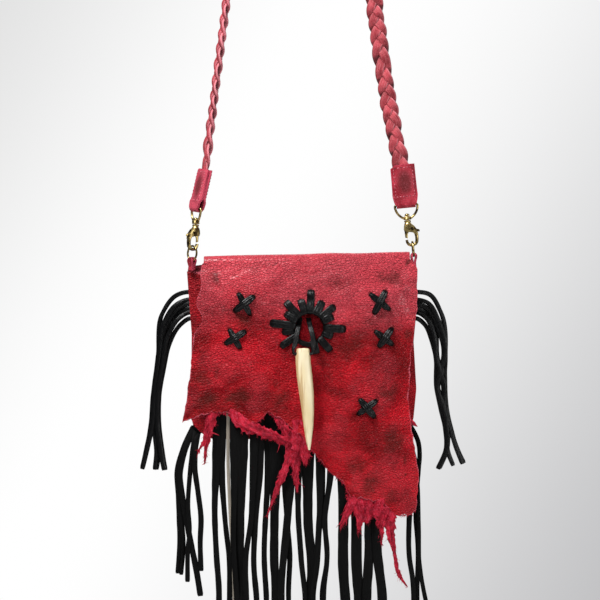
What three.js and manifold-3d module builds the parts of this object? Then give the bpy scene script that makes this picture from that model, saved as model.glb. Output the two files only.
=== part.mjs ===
// Red leather crossbody bag: a torn fold-over flap on a flat pouch, black laces and fringe,
// a tooth pendant, and a braided strap on two swivel clasps.
// Millimetres, +Z up. The origin is where the strap's loop hangs, and the front faces -Y.
import * as THREE from 'three';
import { mergeVertices } from 'three/addons/utils/BufferGeometryUtils.js';
import Module from 'manifold-3d';

const wasm = await Module();
wasm.setup();

// Driving dimensions
const FOLD_DROP = 597; // hang point down to the top of the flap's fold
const WALL = 1.8; // leather of the hide and the pouch
const TORN_WALL = 1.3; // leather of the torn strips
const GAP = 0.3; // clearance between neighbouring pieces
const BACK_FACE_Y = 12; // flat outer face of the back panel
const FOLD_HEIGHT = 8;
const FLAP_SIDE_Y = 3; // how far the flap's middle surface stands forward at its side edges
const FLAP_MIDDLE_Y = 11.5; // and along its middle
const FLAP_HALF_WIDTH = 110;
const FLAP_HANG_BACK = 1.4; // the flap's free end hangs back by this much
const POUCH_TOP = -16;
const POUCH_BOTTOM = -168.3;
const POUCH_BULGE = 14;
const POUCH_MOUTH_SHARE = 0.75; // bulge left at the open top
const LACE = { width: 4.5, thickness: 1.6 };
const HOLE = { x: 8.6, z: -67, radius: 14.7 };
const RING = { radius: 6.6, wire: 0.9 };
const EYE = { halfWidth: 10.2, height: 12.8, wire: 1.1, bossRadius: 3.6, bossHeight: 3.2, bore: 1.5 };
const TAB = { width: 23, length: 36, halfThickness: 3.7, eyeHole: 1.9, pocketFrom: 8 };
const STRAP = { width: 14.5, thickness: 5, endThickness: 3.2, scallop: 1, steps: 96, endShare: 0.036 };
const POCKET = { width: 17.5, thickness: 4.2 };
const HOOK = { halfThickness: 1.3, bevel: 0.8, slotHalf: 1.0, gateHalf: 0.7 };
const PIVOT = { x: 3, z: -22.3, pin: 0.75, hole: 1.1 }; // the gate's pin, in the claw's plane
const RING_SEAT = { x: 2.5, z: -34.4 }; // where the ring's wire lies in the claw
const TOOTH = { y: -21.6, boreX: 2.7, boreZ: -90.5, bore: 1.8 };

// Colours and finishes
const RED_LEATHER = { color: 0xa32031, roughness: 0.62, metalness: 0 };
const BLACK_LACE = { color: 0x17171b, roughness: 0.5, metalness: 0 };
const BRASS = { color: 0x9a8448, roughness: 0.38, metalness: 1 };
const BONE = { color: 0xe6d7ae, roughness: 0.45, metalness: 0 };

// Outlines, measured down from the top of the fold
const FLAP_LEFT = [
  { z: -235, x: -104 }, { z: -158, x: -104 }, { z: -152, x: -107 }, { z: -139, x: -103.5 },
  { z: -112, x: -99.5 }, { z: -85, x: -97.4 }, { z: -73, x: -95.9 }, { z: -61, x: -87 },
  { z: -44, x: -94 }, { z: -29, x: -88 }, { z: -13, x: -90.8 }, { z: -6, x: -87 },
];
const FLAP_RIGHT = [
  { z: -235, x: 104.4 }, { z: -211, x: 106.2 }, { z: -199, x: 107 }, { z: -171, x: 102.6 },
  { z: -132, x: 98.1 }, { z: -96, x: 99.9 }, { z: -65, x: 102.8 }, { z: -53, x: 105.6 },
  { z: -14, x: 105.6 }, { z: -6, x: 99.4 },
];
const POUCH_LEFT = [
  { z: -168.3, x: -80 }, { z: -163, x: -89.6 }, { z: -156, x: -96.8 }, { z: -149, x: -98.6 },
  { z: -73, x: -98 }, { z: -48, x: -100 }, { z: -16, x: -102.4 }, { z: -9, x: -101.5 }, { z: -8, x: -87.4 },
];
const POUCH_RIGHT = [
  { z: -168.3, x: 84 }, { z: -163, x: 96 }, { z: -157, x: 100 }, { z: -150, x: 102.8 },
  { z: -123, x: 105.3 }, { z: -80, x: 102.8 }, { z: -53, x: 105.4 }, { z: -16, x: 106.2 },
  { z: -9, x: 105.6 }, { z: -8, x: 99.4 },
];
// The flap's torn lower edge: share of the width from the left, and height
const TORN_EDGE = [
  { share: 0, z: -152 }, { share: 0.036, z: -149 }, { share: 0.103, z: -144 }, { share: 0.2, z: -144 },
  { share: 0.25, z: -148 }, { share: 0.304, z: -154 }, { share: 0.352, z: -149 }, { share: 0.367, z: -142 },
  { share: 0.403, z: -147 }, { share: 0.445, z: -151 }, { share: 0.507, z: -163 }, { share: 0.541, z: -174 },
  { share: 0.577, z: -184.5 }, { share: 0.626, z: -198 }, { share: 0.683, z: -207 }, { share: 0.715, z: -221 },
  { share: 0.727, z: -240 }, { share: 0.787, z: -243 }, { share: 0.859, z: -241 }, { share: 0.902, z: -243 },
  { share: 0.925, z: -236 }, { share: 0.968, z: -236 }, { share: 1, z: -231 },
];
// Torn strips that hang from the lower edge: route as x, z pairs, width at the root and at the tip
const TORN_STRIPS = [
  { route: [[-77, -138], [-83, -158], [-86, -170], [-91.8, -178]], root: 10, tip: 2 },
  { route: [[-80, -150], [-84, -168], [-86, -189.5]], root: 7, tip: 2 },
  { route: [[-62, -140], [-48, -154], [-36, -160], [-20, -166], [-7, -173]], root: 11, tip: 10 },
  { route: [[-3, -150], [-3, -172], [-4, -196], [-2.7, -215]], root: 17, tip: 3 },
  { route: [[1, -158], [4, -176], [5, -190]], root: 12, tip: 6 },
  { route: [[-6, -170], [-15, -198], [-24, -221], [-30, -237]], root: 9, tip: 2 },
  { route: [[50, -234], [42, -242], [36.5, -247.5]], root: 8, tip: 2 },
  { route: [[54, -236], [54, -244], [52, -251]], root: 9, tip: 2 },
  { route: [[72, -234], [72, -248], [73.4, -263]], root: 8, tip: 2.5 },
  { route: [[80, -235], [82.5, -257], [85.5, -270], [86.4, -286], [97, -301.5]], root: 9, tip: 2 },
];
const CROSS_STITCHES = [
  { under: [[-55.4, -36], [-44.6, -55.8]], over: [[-41, -38.7], [-59.4, -52.7]] },
  { under: [[-63.9, -68.4], [-53.6, -86]], over: [[-48.6, -70.2], [-67.5, -81.9]] },
  { under: [[63, -36.9], [81, -51.3]], over: [[77.4, -33.8], [66.6, -54.9]] },
  { under: [[67.5, -70.2], [83.7, -82.8]], over: [[83.3, -67.5], [70.7, -84.6]] },
  { under: [[69.3, -132.3], [51.8, -145.4]], over: [[53.6, -131.4], [67.5, -148.1]] },
];
// Outer ends of the wraps round the flap's hole
const WRAP_TIPS = [
  [9.9, -34.2], [19.8, -44.1], [30.6, -48.2], [28.8, -57.2], [40, -68.4], [28.4, -74.7], [27, -87.3],
  [14.4, -89.6], [-16.7, -83.7], [-15.3, -71.1], [-26.1, -63], [-12.6, -54.9], [-12.2, -44.6], [0.9, -42.8],
];
// Front fringe: x near the head, at mid length and near the end, width, height of the end
const FRINGE_STRIPS = [
  { head: -74.8, middle: -77.4, end: -72.6, width: 5.2, bottom: -326 },
  { head: -69.3, middle: -66.8, end: -62.7, width: 5.6, bottom: -338 },
  { head: -60.9, middle: -61.2, end: -59, width: 4.2, bottom: -318 },
  { head: -54.9, middle: -55.8, end: -54, width: 5.4, bottom: -335 },
  { head: -49, middle: -51, end: -48.6, width: 5.4, bottom: -322 },
  { head: -41.4, middle: -42.8, end: -39.6, width: 5.2, bottom: -340 },
  { head: -36, middle: -37.2, end: -34.2, width: 5, bottom: -330 },
  { head: -29.4, middle: -30.3, end: -30.6, width: 4.2, bottom: -316 },
  { head: -22.5, middle: -22, end: -22.1, width: 8.2, bottom: -336 },
  { head: -10.4, middle: -10.8, end: -11.3, width: 7.4, bottom: -325 },
  { head: -2.3, middle: -0.9, end: 1.8, width: 4.6, bottom: -340 },
  { head: 6.8, middle: 6.6, end: 7.6, width: 8.4, bottom: -332 },
  { head: 18.9, middle: 17.4, end: 15.6, width: 6.4, bottom: -320 },
  { head: 27, middle: 27, end: 28, width: 4.2, bottom: -338 },
  { head: 39.6, middle: 39.4, end: 41, width: 8, bottom: -328 },
  { head: 50.9, middle: 50.9, end: 52, width: 8.6, bottom: -340 },
  { head: 61, middle: 61, end: 61.5, width: 5.8, bottom: -318 },
  { head: 69, middle: 68.6, end: 69.5, width: 7.6, bottom: -334 },
];
const FRINGE_HEAD = { top: -126, bottom: -140, left: -80, right: 75, columns: 10, thickness: 2.2 };
// Laces of a side tassel: places of the outermost and the innermost lace at each height
const TASSELS = {
  left: {
    seam: -102.9,
    outer: [[-112.5, -38.7], [-125, -56], [-129.5, -97], [-136, -142], [-142, -196]],
    inner: [[-108, -64], [-119, -79], [-122.6, -97], [-125.5, -142], [-121, -194]],
  },
  right: {
    seam: 107.6,
    outer: [[117.5, -37.5], [128, -54], [133.5, -97], [138.5, -142], [149, -193]],
    inner: [[113, -64], [119, -76], [123.2, -97], [126.5, -142], [126, -197]],
  },
};
const TASSEL = { laces: 6, exitTop: -35, exitStep: 4.8, width: 4.6, thickness: 2.4 };
// Strips that hang from the pouch's bottom corners: the seat along the corner and each strip's route
const CORNER_FRINGES = {
  left: {
    seat: [[-99, -156.8], [-95.8, -160.8], [-91.4, -164.8]],
    strips: [
      { route: [[-98, -158], [-107, -176], [-111, -200], [-112.5, -292]], width: 5 },
      { route: [[-97, -159], [-103, -178], [-105.8, -205], [-106.6, -294]], width: 5.2 },
      { route: [[-95, -161], [-99, -180], [-99.5, -205], [-100.8, -299]], width: 5 },
      { route: [[-94.2, -164.5], [-94.4, -182], [-93.6, -210], [-90.5, -311]], width: 6.5 },
    ],
  },
  right: {
    seat: [[104.4, -151.6], [101.8, -158.4], [97.6, -164.6]],
    strips: [
      { route: [[103.4, -155], [107.2, -170], [106, -200], [109, -258], [112, -330]], width: 5.2 },
      { route: [[101.6, -159], [104, -176], [102, -205], [104.6, -258], [107.4, -338]], width: 4.6 },
      { route: [[99, -162], [99.5, -180], [98.5, -210], [99.8, -258], [102.6, -322]], width: 4.8 },
    ],
  },
};
const TOOTH_SECTIONS = [
  { z: -86.4, x: 2.7, width: 10.5, depth: 7.4 }, { z: -89, x: 2.7, width: 13, depth: 8.8 },
  { z: -96, x: 2.7, width: 13.4, depth: 9 }, { z: -110, x: 3.9, width: 14, depth: 9.2 },
  { z: -126, x: 5.7, width: 13.2, depth: 8.6 }, { z: -142, x: 7, width: 11, depth: 7.4 },
  { z: -156, x: 7.6, width: 8.6, depth: 6 }, { z: -170, x: 7.9, width: 4.6, depth: 3.6 },
  { z: -176.4, x: 8.3, width: 1.6, depth: 1.4 },
];
// The pendant's lace, from its anchor on the pouch through the tooth's bore and back
const PENDANT_LACE = [
  { x: 2.4, y: -6.8, z: -58.5 }, { x: 1.6, y: -9, z: -62.5 }, { x: 0.4, y: -14, z: -67.5 },
  { x: -1.5, y: -17.6, z: -74 }, { x: -4.2, y: -19.8, z: -82 }, { x: -6, y: -21.4, z: -87.6 },
  { x: -5.6, y: -21.6, z: -90 }, { x: -3.6, y: -21.6, z: -90.5 }, { x: 2.7, y: -21.6, z: -90.5 },
  { x: 9, y: -21.6, z: -90.5 }, { x: 11, y: -21.6, z: -90 }, { x: 11.4, y: -21.4, z: -87.6 },
  { x: 12, y: -19.8, z: -82 }, { x: 11.2, y: -17.6, z: -74 }, { x: 9.6, y: -14, z: -67.5 },
  { x: 8.4, y: -9, z: -62.5 }, { x: 7.6, y: -6.8, z: -58.5 },
];
const PENDANT_LACE_RADIUS = 1.3;
// The strap's middle line, from the hang point's frame, and how its width turns from +X
const STRAP_ROUTE = [
  { x: -92, y: 5.5, z: -547.3 }, { x: -86.3, y: 5.5, z: -521.8 }, { x: -81.7, y: 5, z: -486.3 },
  { x: -66.6, y: 3.5, z: -369 }, { x: -40.5, y: 1.5, z: -190 }, { x: -14.9, y: 0, z: -14.5 },
  { x: -10.6, y: 0, z: -1.9 }, { x: 0, y: 0, z: 2.5 }, { x: 10.6, y: 0, z: -1.9 },
  { x: 14.9, y: 0, z: -14.5 }, { x: 40, y: 2, z: -190 }, { x: 65.4, y: 4.5, z: -369 },
  { x: 84.6, y: 6, z: -486.3 }, { x: 91.6, y: 6.4, z: -517 }, { x: 94.6, y: 6.4, z: -543.4 },
];
const STRAP_TURN = [
  { share: 0, degrees: -72 }, { share: 0.3, degrees: -78 }, { share: 0.46, degrees: -90 },
  { share: 0.56, degrees: -90 }, { share: 0.7, degrees: -50 }, { share: 0.85, degrees: 0 }, { share: 1, degrees: 0 },
];
// Each side's clasp: place of the eye's bar, lean of tab and clasp, turn of tab and of claw
const CLASPS = {
  left: { x: -94, y: 5.5, z: 41, tabLean: 13, lean: 2.5, tabTurn: -72, hookTurn: 220 },
  right: { x: 96.2, y: 6.4, z: 44.7, tabLean: -5.5, lean: -5.5, tabTurn: 0, hookTurn: 0 },
};
const RING_LOOP = { width: 6.4, wall: 1.5, holeHalf: 1.4, foot: -15.4, footHalf: 1.7 };

// Value in a table of rows sorted by one column, straight between rows
function between(table, key, column, at) {
  const rising = [...table].sort((a, b) => a[key] - b[key]);
  if (at <= rising[0][key]) return rising[0][column];
  for (let row = 1; row < rising.length; row++) {
    const before = rising[row - 1];
    const after = rising[row];
    if (at <= after[key]) {
      return THREE.MathUtils.mapLinear(at, before[key], after[key], before[column], after[column]);
    }
  }
  return rising.at(-1)[column];
}

// Closed geometry with its faces outward, from corner positions and triangles
function closedGeometry(points, faces) {
  let volume = 0;
  for (let face = 0; face < faces.length; face += 3) {
    const [a, b, c] = [points[faces[face]], points[faces[face + 1]], points[faces[face + 2]]];
    volume += a.dot(b.clone().cross(c));
  }
  const index = volume > 0 ? faces : faces.toReversed();
  const geometry = new THREE.BufferGeometry().setFromPoints(points);
  geometry.setIndex(index);
  return geometry;
}

// Skin over a row of sections that have the same number of corners
function loft(sections, closed = false) {
  const sides = sections[0].length;
  const faces = [];
  const spans = closed ? sections.length : sections.length - 1;
  for (let row = 0; row < spans; row++) {
    const here = row * sides;
    const there = ((row + 1) % sections.length) * sides;
    for (let side = 0; side < sides; side++) {
      const turn = (side + 1) % sides;
      faces.push(here + side, here + turn, there + turn, here + side, there + turn, there + side);
    }
  }
  if (!closed) {
    const last = (sections.length - 1) * sides;
    for (let side = 0; side < sides / 2 - 1; side++) {
      const far = sides - 1 - side;
      faces.push(side, far, far - 1, side, far - 1, side + 1);
      faces.push(last + side, last + far - 1, last + far, last + side, last + side + 1, last + far - 1);
    }
  }
  return closedGeometry(sections.flat(), faces);
}

// Leather wall from a grid of points on its middle surface
function wall(grid, thickness) {
  const sections = grid.map((row, i) => {
    const above = grid[Math.min(i + 1, grid.length - 1)];
    const below = grid[Math.max(i - 1, 0)];
    const front = [];
    const back = [];
    row.forEach((point, j) => {
      const across = row[Math.min(j + 1, row.length - 1)].clone().sub(row[Math.max(j - 1, 0)]);
      const down = above[j].clone().sub(below[j]);
      const normal = across.cross(down).setLength(thickness / 2);
      front.push(point.clone().add(normal));
      back.unshift(point.clone().sub(normal));
    });
    return [...front, ...back];
  });
  return loft(sections);
}

// Flat strip along a route, its broad side facing a given way
function strip(route, widths, thickness, steps, facing = new THREE.Vector3(0, -1, 0)) {
  const curve = new THREE.CatmullRomCurve3(route);
  const sections = [];
  for (let step = 0; step <= steps; step++) {
    const share = step / steps;
    const point = curve.getPoint(share);
    const side = curve.getTangent(share).cross(facing);
    const half = THREE.MathUtils.lerp(widths[0], widths[1], share) / 2;
    side.setLength(half);
    const up = facing.clone().setLength(thickness / 2);
    sections.push([
      point.clone().sub(side).sub(up), point.clone().add(side).sub(up),
      point.clone().add(side).add(up), point.clone().sub(side).add(up),
    ]);
  }
  return loft(sections);
}

// Round wire along a route
function wire(route, radius, sides, steps, closed = false) {
  const curve = new THREE.CatmullRomCurve3(route, closed);
  const frames = curve.computeFrenetFrames(steps, closed);
  const rings = [];
  for (let step = 0; step < (closed ? steps : steps + 1); step++) {
    const point = curve.getPointAt(step / steps);
    const ring = [];
    for (let side = 0; side < sides; side++) {
      const angle = (2 * Math.PI * side) / sides;
      const spoke = frames.normals[step].clone().multiplyScalar(radius * Math.cos(angle));
      spoke.addScaledVector(frames.binormals[step], radius * Math.sin(angle));
      ring.push(point.clone().add(spoke));
    }
    rings.push(ring);
  }
  return loft(rings, closed);
}

function solid(geometry) {
  const bare = geometry.clone();
  bare.deleteAttribute('normal');
  bare.deleteAttribute('uv');
  const merged = mergeVertices(bare);
  return new wasm.Manifold(new wasm.Mesh({
    numProp: 3,
    vertProperties: Float32Array.from(merged.attributes.position.array),
    triVerts: Uint32Array.from(merged.index.array),
  }));
}

function geometryOf(body) {
  const { vertProperties, triVerts } = body.getMesh();
  const geometry = new THREE.BufferGeometry();
  geometry.setAttribute('position', new THREE.BufferAttribute(Float32Array.from(vertProperties), 3));
  geometry.setIndex(new THREE.BufferAttribute(Uint32Array.from(triVerts), 1));
  return geometry;
}

function fuse(geometries) {
  return geometries.map(solid).reduce((whole, piece) => whole.add(piece));
}

// Upright round bar along Z
function bar(radius, bottom, top, sides = 10) {
  const geometry = new THREE.CylinderGeometry(radius, radius, top - bottom, sides);
  return geometry.rotateX(Math.PI / 2).translate(0, 0, (top + bottom) / 2);
}

// Plate in the X-Z plane, its thickness along Y
function plate(shape, half, bevel = 0) {
  const geometry = new THREE.ExtrudeGeometry(shape, {
    depth: 2 * half, curveSegments: 4, bevelEnabled: bevel > 0,
    bevelThickness: bevel, bevelSize: bevel, bevelOffset: -bevel, bevelSegments: 1,
  });
  return geometry.translate(0, 0, -half).rotateX(Math.PI / 2);
}

function outline(points) {
  return new THREE.Shape(points.map(([x, z]) => new THREE.Vector2(x, z)));
}

// Height of the flap's middle surface from the back, with its slow ripples lower down
function flapY(x, z) {
  const crown = 1 - (x / FLAP_HALF_WIDTH) ** 2;
  const hang = THREE.MathUtils.smoothstep(-z, 150, 235);
  const ripple = 0.7 * Math.sin(x / 13) * THREE.MathUtils.smoothstep(-z, 90, 160);
  return -(FLAP_SIDE_Y + (FLAP_MIDDLE_Y - FLAP_SIDE_Y) * crown) + FLAP_HANG_BACK * hang + ripple;
}

function onFlap(x, z, lift) {
  return new THREE.Vector3(x, flapY(x, z) - WALL / 2 - lift, z);
}

// Middle surface of the pouch's front: sewn flat at the sides and bottom, gaping at the top
function pouchY(x, z) {
  const left = between(POUCH_LEFT, 'z', 'x', z);
  const right = between(POUCH_RIGHT, 'z', 'x', z);
  const across = THREE.MathUtils.mapLinear(x, left, right, -1, 1);
  const down = THREE.MathUtils.mapLinear(z, POUCH_TOP, POUCH_BOTTOM, 0, 1);
  const mouth = THREE.MathUtils.lerp(POUCH_MOUTH_SHARE, 1, THREE.MathUtils.smoothstep(down, 0, 0.4));
  const foot = 1 - Math.max(0, 2 * down - 1) ** 4;
  const seam = BACK_FACE_Y - WALL - GAP - WALL / 2;
  return seam - POUCH_BULGE * (1 - Math.min(1, Math.abs(across)) ** 4) * mouth * foot;
}

function hideBody() {
  const middleBack = BACK_FACE_Y - WALL / 2;
  const backHeights = [POUCH_BOTTOM, -163, -156, -149, -75, -16, -9, -FOLD_HEIGHT];
  const foldSteps = 3;
  const flapSteps = 8;
  const rows = backHeights.map((z) => TORN_EDGE.map(({ share }) => {
    const x = THREE.MathUtils.lerp(between(POUCH_LEFT, 'z', 'x', z), between(POUCH_RIGHT, 'z', 'x', z), share);
    return new THREE.Vector3(x, middleBack, z);
  }));
  for (let step = 1; step <= foldSteps; step++) {
    const angle = (Math.PI * step) / (foldSteps + 1);
    rows.push(TORN_EDGE.map(({ share }) => {
      const x = THREE.MathUtils.lerp(FLAP_LEFT.at(-1).x, FLAP_RIGHT.at(-1).x, share);
      const front = flapY(x, -FOLD_HEIGHT);
      const y = (middleBack + front) / 2 + ((middleBack - front) / 2) * Math.cos(angle);
      return new THREE.Vector3(x, y, -FOLD_HEIGHT + (FOLD_HEIGHT - WALL / 2) * Math.sin(angle));
    }));
  }
  for (let step = 0; step <= flapSteps; step++) {
    rows.push(TORN_EDGE.map(({ share, z: end }) => {
      const z = THREE.MathUtils.lerp(-FOLD_HEIGHT, end, step / flapSteps);
      const x = THREE.MathUtils.lerp(between(FLAP_LEFT, 'z', 'x', z), between(FLAP_RIGHT, 'z', 'x', z), share);
      return new THREE.Vector3(x, flapY(x, z), z);
    }));
  }
  const strips = TORN_STRIPS.map(({ route, root, tip }) => {
    const points = route.map(([x, z]) => onFlap(x, z, -WALL / 2));
    return strip(points, [root, tip], TORN_WALL, route.length + 1);
  });
  const holeDepth = 8;
  const hole = new THREE.CylinderGeometry(HOLE.radius, HOLE.radius, holeDepth, 24);
  hole.translate(HOLE.x, flapY(HOLE.x, HOLE.z), HOLE.z);
  return geometryOf(fuse([wall(rows, WALL), ...strips]).subtract(solid(hole)));
}

function pouchFrontBody() {
  const rowShares = [0, 0.1, 0.25, 0.42, 0.6, 0.75, 0.86, 0.92, 0.965, 1];
  const columns = 12;
  const rows = rowShares.map((down) => {
    const z = THREE.MathUtils.lerp(POUCH_TOP, POUCH_BOTTOM, down);
    const left = between(POUCH_LEFT, 'z', 'x', z);
    const right = between(POUCH_RIGHT, 'z', 'x', z);
    const row = [];
    for (let column = 0; column <= columns; column++) {
      const across = 0.5 - 0.5 * Math.cos((Math.PI * column) / columns);
      const x = THREE.MathUtils.lerp(left, right, across);
      row.push(new THREE.Vector3(x, pouchY(x, z), z));
    }
    return row;
  });
  return wall(rows, WALL);
}

function crossStitchBody({ under, over }) {
  const arms = [{ ends: under, lift: 0 }, { ends: over, lift: LACE.thickness - 0.2 }].map(({ ends, lift }) => {
    const [start, end] = ends;
    const route = [0, 0.25, 0.5, 0.75, 1].map((share) => {
      const x = THREE.MathUtils.lerp(start[0], end[0], share);
      const z = THREE.MathUtils.lerp(start[1], end[1], share);
      return onFlap(x, z, GAP + LACE.thickness / 2 + lift * Math.sin(Math.PI * share));
    });
    return strip(route, [LACE.width, LACE.width], LACE.thickness, 6);
  });
  return geometryOf(fuse(arms));
}

// Lace wound through the hole's edge: a grooved ring round the edge and a spoke for each wrap
function lacingRingBody() {
  const inner = HOLE.radius - 1.8;
  const groove = HOLE.radius - 0.5;
  const outer = HOLE.radius + 1.8;
  const face = WALL / 2 + GAP;
  const thick = 1.7;
  const profile = [
    [inner, face + thick], [outer, face + thick], [outer, face], [groove, face],
    [groove, -face], [outer, -face], [outer, -face - thick], [inner, -face - thick],
  ];
  const segments = 16;
  const sections = [];
  for (let segment = 0; segment < segments; segment++) {
    const angle = (2 * Math.PI * segment) / segments;
    sections.push(profile.map(([radius, forward]) => {
      const x = HOLE.x + radius * Math.cos(angle);
      const z = HOLE.z + radius * Math.sin(angle);
      return new THREE.Vector3(x, flapY(x, z) - forward, z);
    }));
  }
  const spokes = WRAP_TIPS.map(([x, z]) => {
    const reach = Math.hypot(x - HOLE.x, z - HOLE.z);
    const route = [(outer - 0.8) / reach, 0.85, 1].map((share) => onFlap(
      THREE.MathUtils.lerp(HOLE.x, x, share), THREE.MathUtils.lerp(HOLE.z, z, share), GAP + thick / 2,
    ));
    return strip(route, [LACE.width + 1.2, LACE.width], thick - 0.4, 2);
  });
  return geometryOf(fuse([loft(sections, true), ...spokes]));
}

function pendantLaceBody() {
  const route = PENDANT_LACE.map(({ x, y, z }) => new THREE.Vector3(x, y, z));
  return wire(route, PENDANT_LACE_RADIUS, 6, 30);
}

function toothBody() {
  const sides = 12;
  const sections = TOOTH_SECTIONS.map(({ z, x, width, depth }) => {
    const ring = [];
    for (let side = 0; side < sides; side++) {
      const angle = (2 * Math.PI * side) / sides;
      ring.push(new THREE.Vector3(x + (width / 2) * Math.cos(angle), TOOTH.y + (depth / 2) * Math.sin(angle), z));
    }
    return ring;
  });
  const boreLength = 20;
  const bore = bar(TOOTH.bore, -boreLength / 2, boreLength / 2, 10).rotateY(Math.PI / 2);
  bore.translate(TOOTH.boreX, TOOTH.y, TOOTH.boreZ);
  return geometryOf(solid(loft(sections)).subtract(solid(bore)));
}

function tasselBody({ seam, outer, inner }) {
  const seamY = BACK_FACE_Y - WALL - GAP;
  const laceEnd = TASSEL.exitTop - TASSEL.exitStep * (TASSEL.laces - 1);
  const outward = new THREE.Vector3(Math.sign(seam), 0, 0);
  const headRoute = [TASSEL.exitTop + 3, laceEnd - 3].map((z) => new THREE.Vector3(seam, seamY, z));
  const pieces = [strip(headRoute, [6, 6], WALL, 1, outward)];
  for (let lace = 0; lace < TASSEL.laces; lace++) {
    const share = lace / (TASSEL.laces - 1);
    const exit = new THREE.Vector3(seam + 0.5 * outward.x, seamY, TASSEL.exitTop - TASSEL.exitStep * lace);
    const spread = 2.4 * Math.cos(2.3 * lace);
    const route = outer.map(([x, z], place) => new THREE.Vector3(
      THREE.MathUtils.lerp(x, inner[place][0], share), seamY + spread,
      THREE.MathUtils.lerp(z, inner[place][1], share),
    ));
    pieces.push(strip([exit, ...route], [TASSEL.width, TASSEL.width - 1], TASSEL.thickness, 7));
  }
  return geometryOf(fuse(pieces));
}

function fringeFrontBody() {
  const { top, bottom: rim, left, right, columns, thickness } = FRINGE_HEAD;
  const clear = WALL / 2 + 0.35 + GAP + thickness / 2;
  const heads = [rim, top].map((z) => {
    const row = [];
    for (let column = 0; column <= columns; column++) {
      const x = THREE.MathUtils.lerp(left, right, column / columns);
      row.push(new THREE.Vector3(x, pouchY(x, z) - clear, z));
    }
    return row;
  });
  const strips = FRINGE_STRIPS.map(({ head, middle, end, width, bottom }) => {
    const y = pouchY(head, rim + 1) - clear;
    const route = [[head, rim + 3], [head, -177], [middle, -240], [end, bottom]];
    const points = route.map(([x, z]) => new THREE.Vector3(x, y, z));
    return strip(points, [width, width], LACE.thickness, 4);
  });
  return geometryOf(fuse([wall(heads, thickness), ...strips]));
}

function cornerFringeBody({ seat, strips }) {
  const seamY = BACK_FACE_Y - WALL - GAP;
  const seatRoute = seat.map(([x, z]) => new THREE.Vector3(x, seamY, z));
  const along = seatRoute.at(-1).clone().sub(seatRoute[0]);
  const outward = along.cross(new THREE.Vector3(0, 1, 0)).normalize();
  const pieces = [strip(seatRoute, [5, 5], WALL, 4, outward)];
  strips.forEach(({ route, width }, order) => {
    const points = route.map(([x, z], place) => new THREE.Vector3(x, seamY - Math.min(place, 1) * order * 1.4, z));
    pieces.push(strip(points, [width, width], LACE.thickness, 6));
  });
  return geometryOf(fuse(pieces));
}

// Flat braid: six-cornered sections whose two edges swell in turn
function strapBody() {
  const curve = new THREE.CatmullRomCurve3(STRAP_ROUTE.map(({ x, y, z }) => new THREE.Vector3(x, y, z)));
  const sections = [];
  for (let step = 0; step <= STRAP.steps; step++) {
    const share = step / STRAP.steps;
    const point = curve.getPointAt(share);
    const tangent = curve.getTangentAt(share);
    const turn = THREE.MathUtils.degToRad(between(STRAP_TURN, 'share', 'degrees', share));
    const across = new THREE.Vector3(Math.cos(turn), Math.sin(turn), 0);
    across.addScaledVector(tangent, -across.dot(tangent)).normalize();
    const up = tangent.clone().cross(across);
    const inTab = Math.min(share, 1 - share) < STRAP.endShare;
    const half = (inTab ? STRAP.endThickness : STRAP.thickness) / 2;
    const swell = step % 2 === 0 ? STRAP.scallop : 0;
    const rightEdge = STRAP.width / 2 - swell;
    const leftEdge = STRAP.width / 2 - STRAP.scallop + swell;
    const place = (x, y) => point.clone().addScaledVector(across, x).addScaledVector(up, y);
    const flat = STRAP.width / 4;
    sections.push([
      place(-leftEdge, 0), place(-flat, half), place(flat, half),
      place(rightEdge, 0), place(flat, -half), place(-flat, -half),
    ]);
  }
  return loft(sections);
}

// Tab folded round the eye's bar, its two leaves sewn together round the strap's pocket
function tabBody() {
  const { width, length, halfThickness, eyeHole, pocketFrom } = TAB;
  const section = new THREE.Shape();
  section.moveTo(halfThickness, 0);
  section.lineTo(halfThickness, length);
  section.lineTo(-halfThickness, length);
  section.lineTo(-halfThickness, 0);
  section.absarc(0, 0, halfThickness, Math.PI, 2 * Math.PI, false);
  const hole = new THREE.Path();
  hole.absarc(0, 0, eyeHole, 0, 2 * Math.PI, true);
  section.holes.push(hole);
  const folded = new THREE.ExtrudeGeometry(section, { depth: width + 2, bevelEnabled: false, curveSegments: 6 });
  folded.translate(0, 0, -(width + 2) / 2).rotateX(Math.PI / 2).rotateZ(Math.PI / 2);
  const chamfer = 3;
  const loopHalf = EYE.halfWidth - EYE.wire - 2 * GAP;
  const cutLine = plate(outline([
    [-loopHalf, -2 * halfThickness], [loopHalf, -2 * halfThickness], [loopHalf, 2.6], [width / 2, 7.5],
    [width / 2 - 1, length], [-width / 2 + chamfer + 1, length], [-width / 2 + 1, length - chamfer],
    [-width / 2, 7.5], [-loopHalf, 2.6],
  ]), 2 * halfThickness);
  const pocket = new THREE.BoxGeometry(POCKET.width, POCKET.thickness, length);
  pocket.translate(0, 0, pocketFrom + length / 2);
  return geometryOf(solid(folded).intersect(solid(cutLine)).subtract(solid(pocket)));
}

function eyeBody() {
  const { halfWidth, height, wire: radius, bossRadius, bossHeight, bore } = EYE;
  const route = [
    [-halfWidth, -1], [-halfWidth + 0.8, 0], [0, 0], [halfWidth - 0.8, 0], [halfWidth, -1],
    [halfWidth - 0.4, -5], [halfWidth - 3.6, -10], [bossRadius - 0.8, -height],
    [-bossRadius + 0.8, -height], [-halfWidth + 3.6, -10], [-halfWidth + 0.4, -5],
  ].map(([x, z]) => new THREE.Vector3(x, 0, z));
  const boss = bar(bossRadius, -height - bossHeight / 2, -height + bossHeight / 2, 10);
  const passage = bar(bore, -height - bossHeight, -height + bossHeight, 8);
  return geometryOf(fuse([wire(route, radius, 5, 20, true), boss]).subtract(solid(passage)));
}

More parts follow.
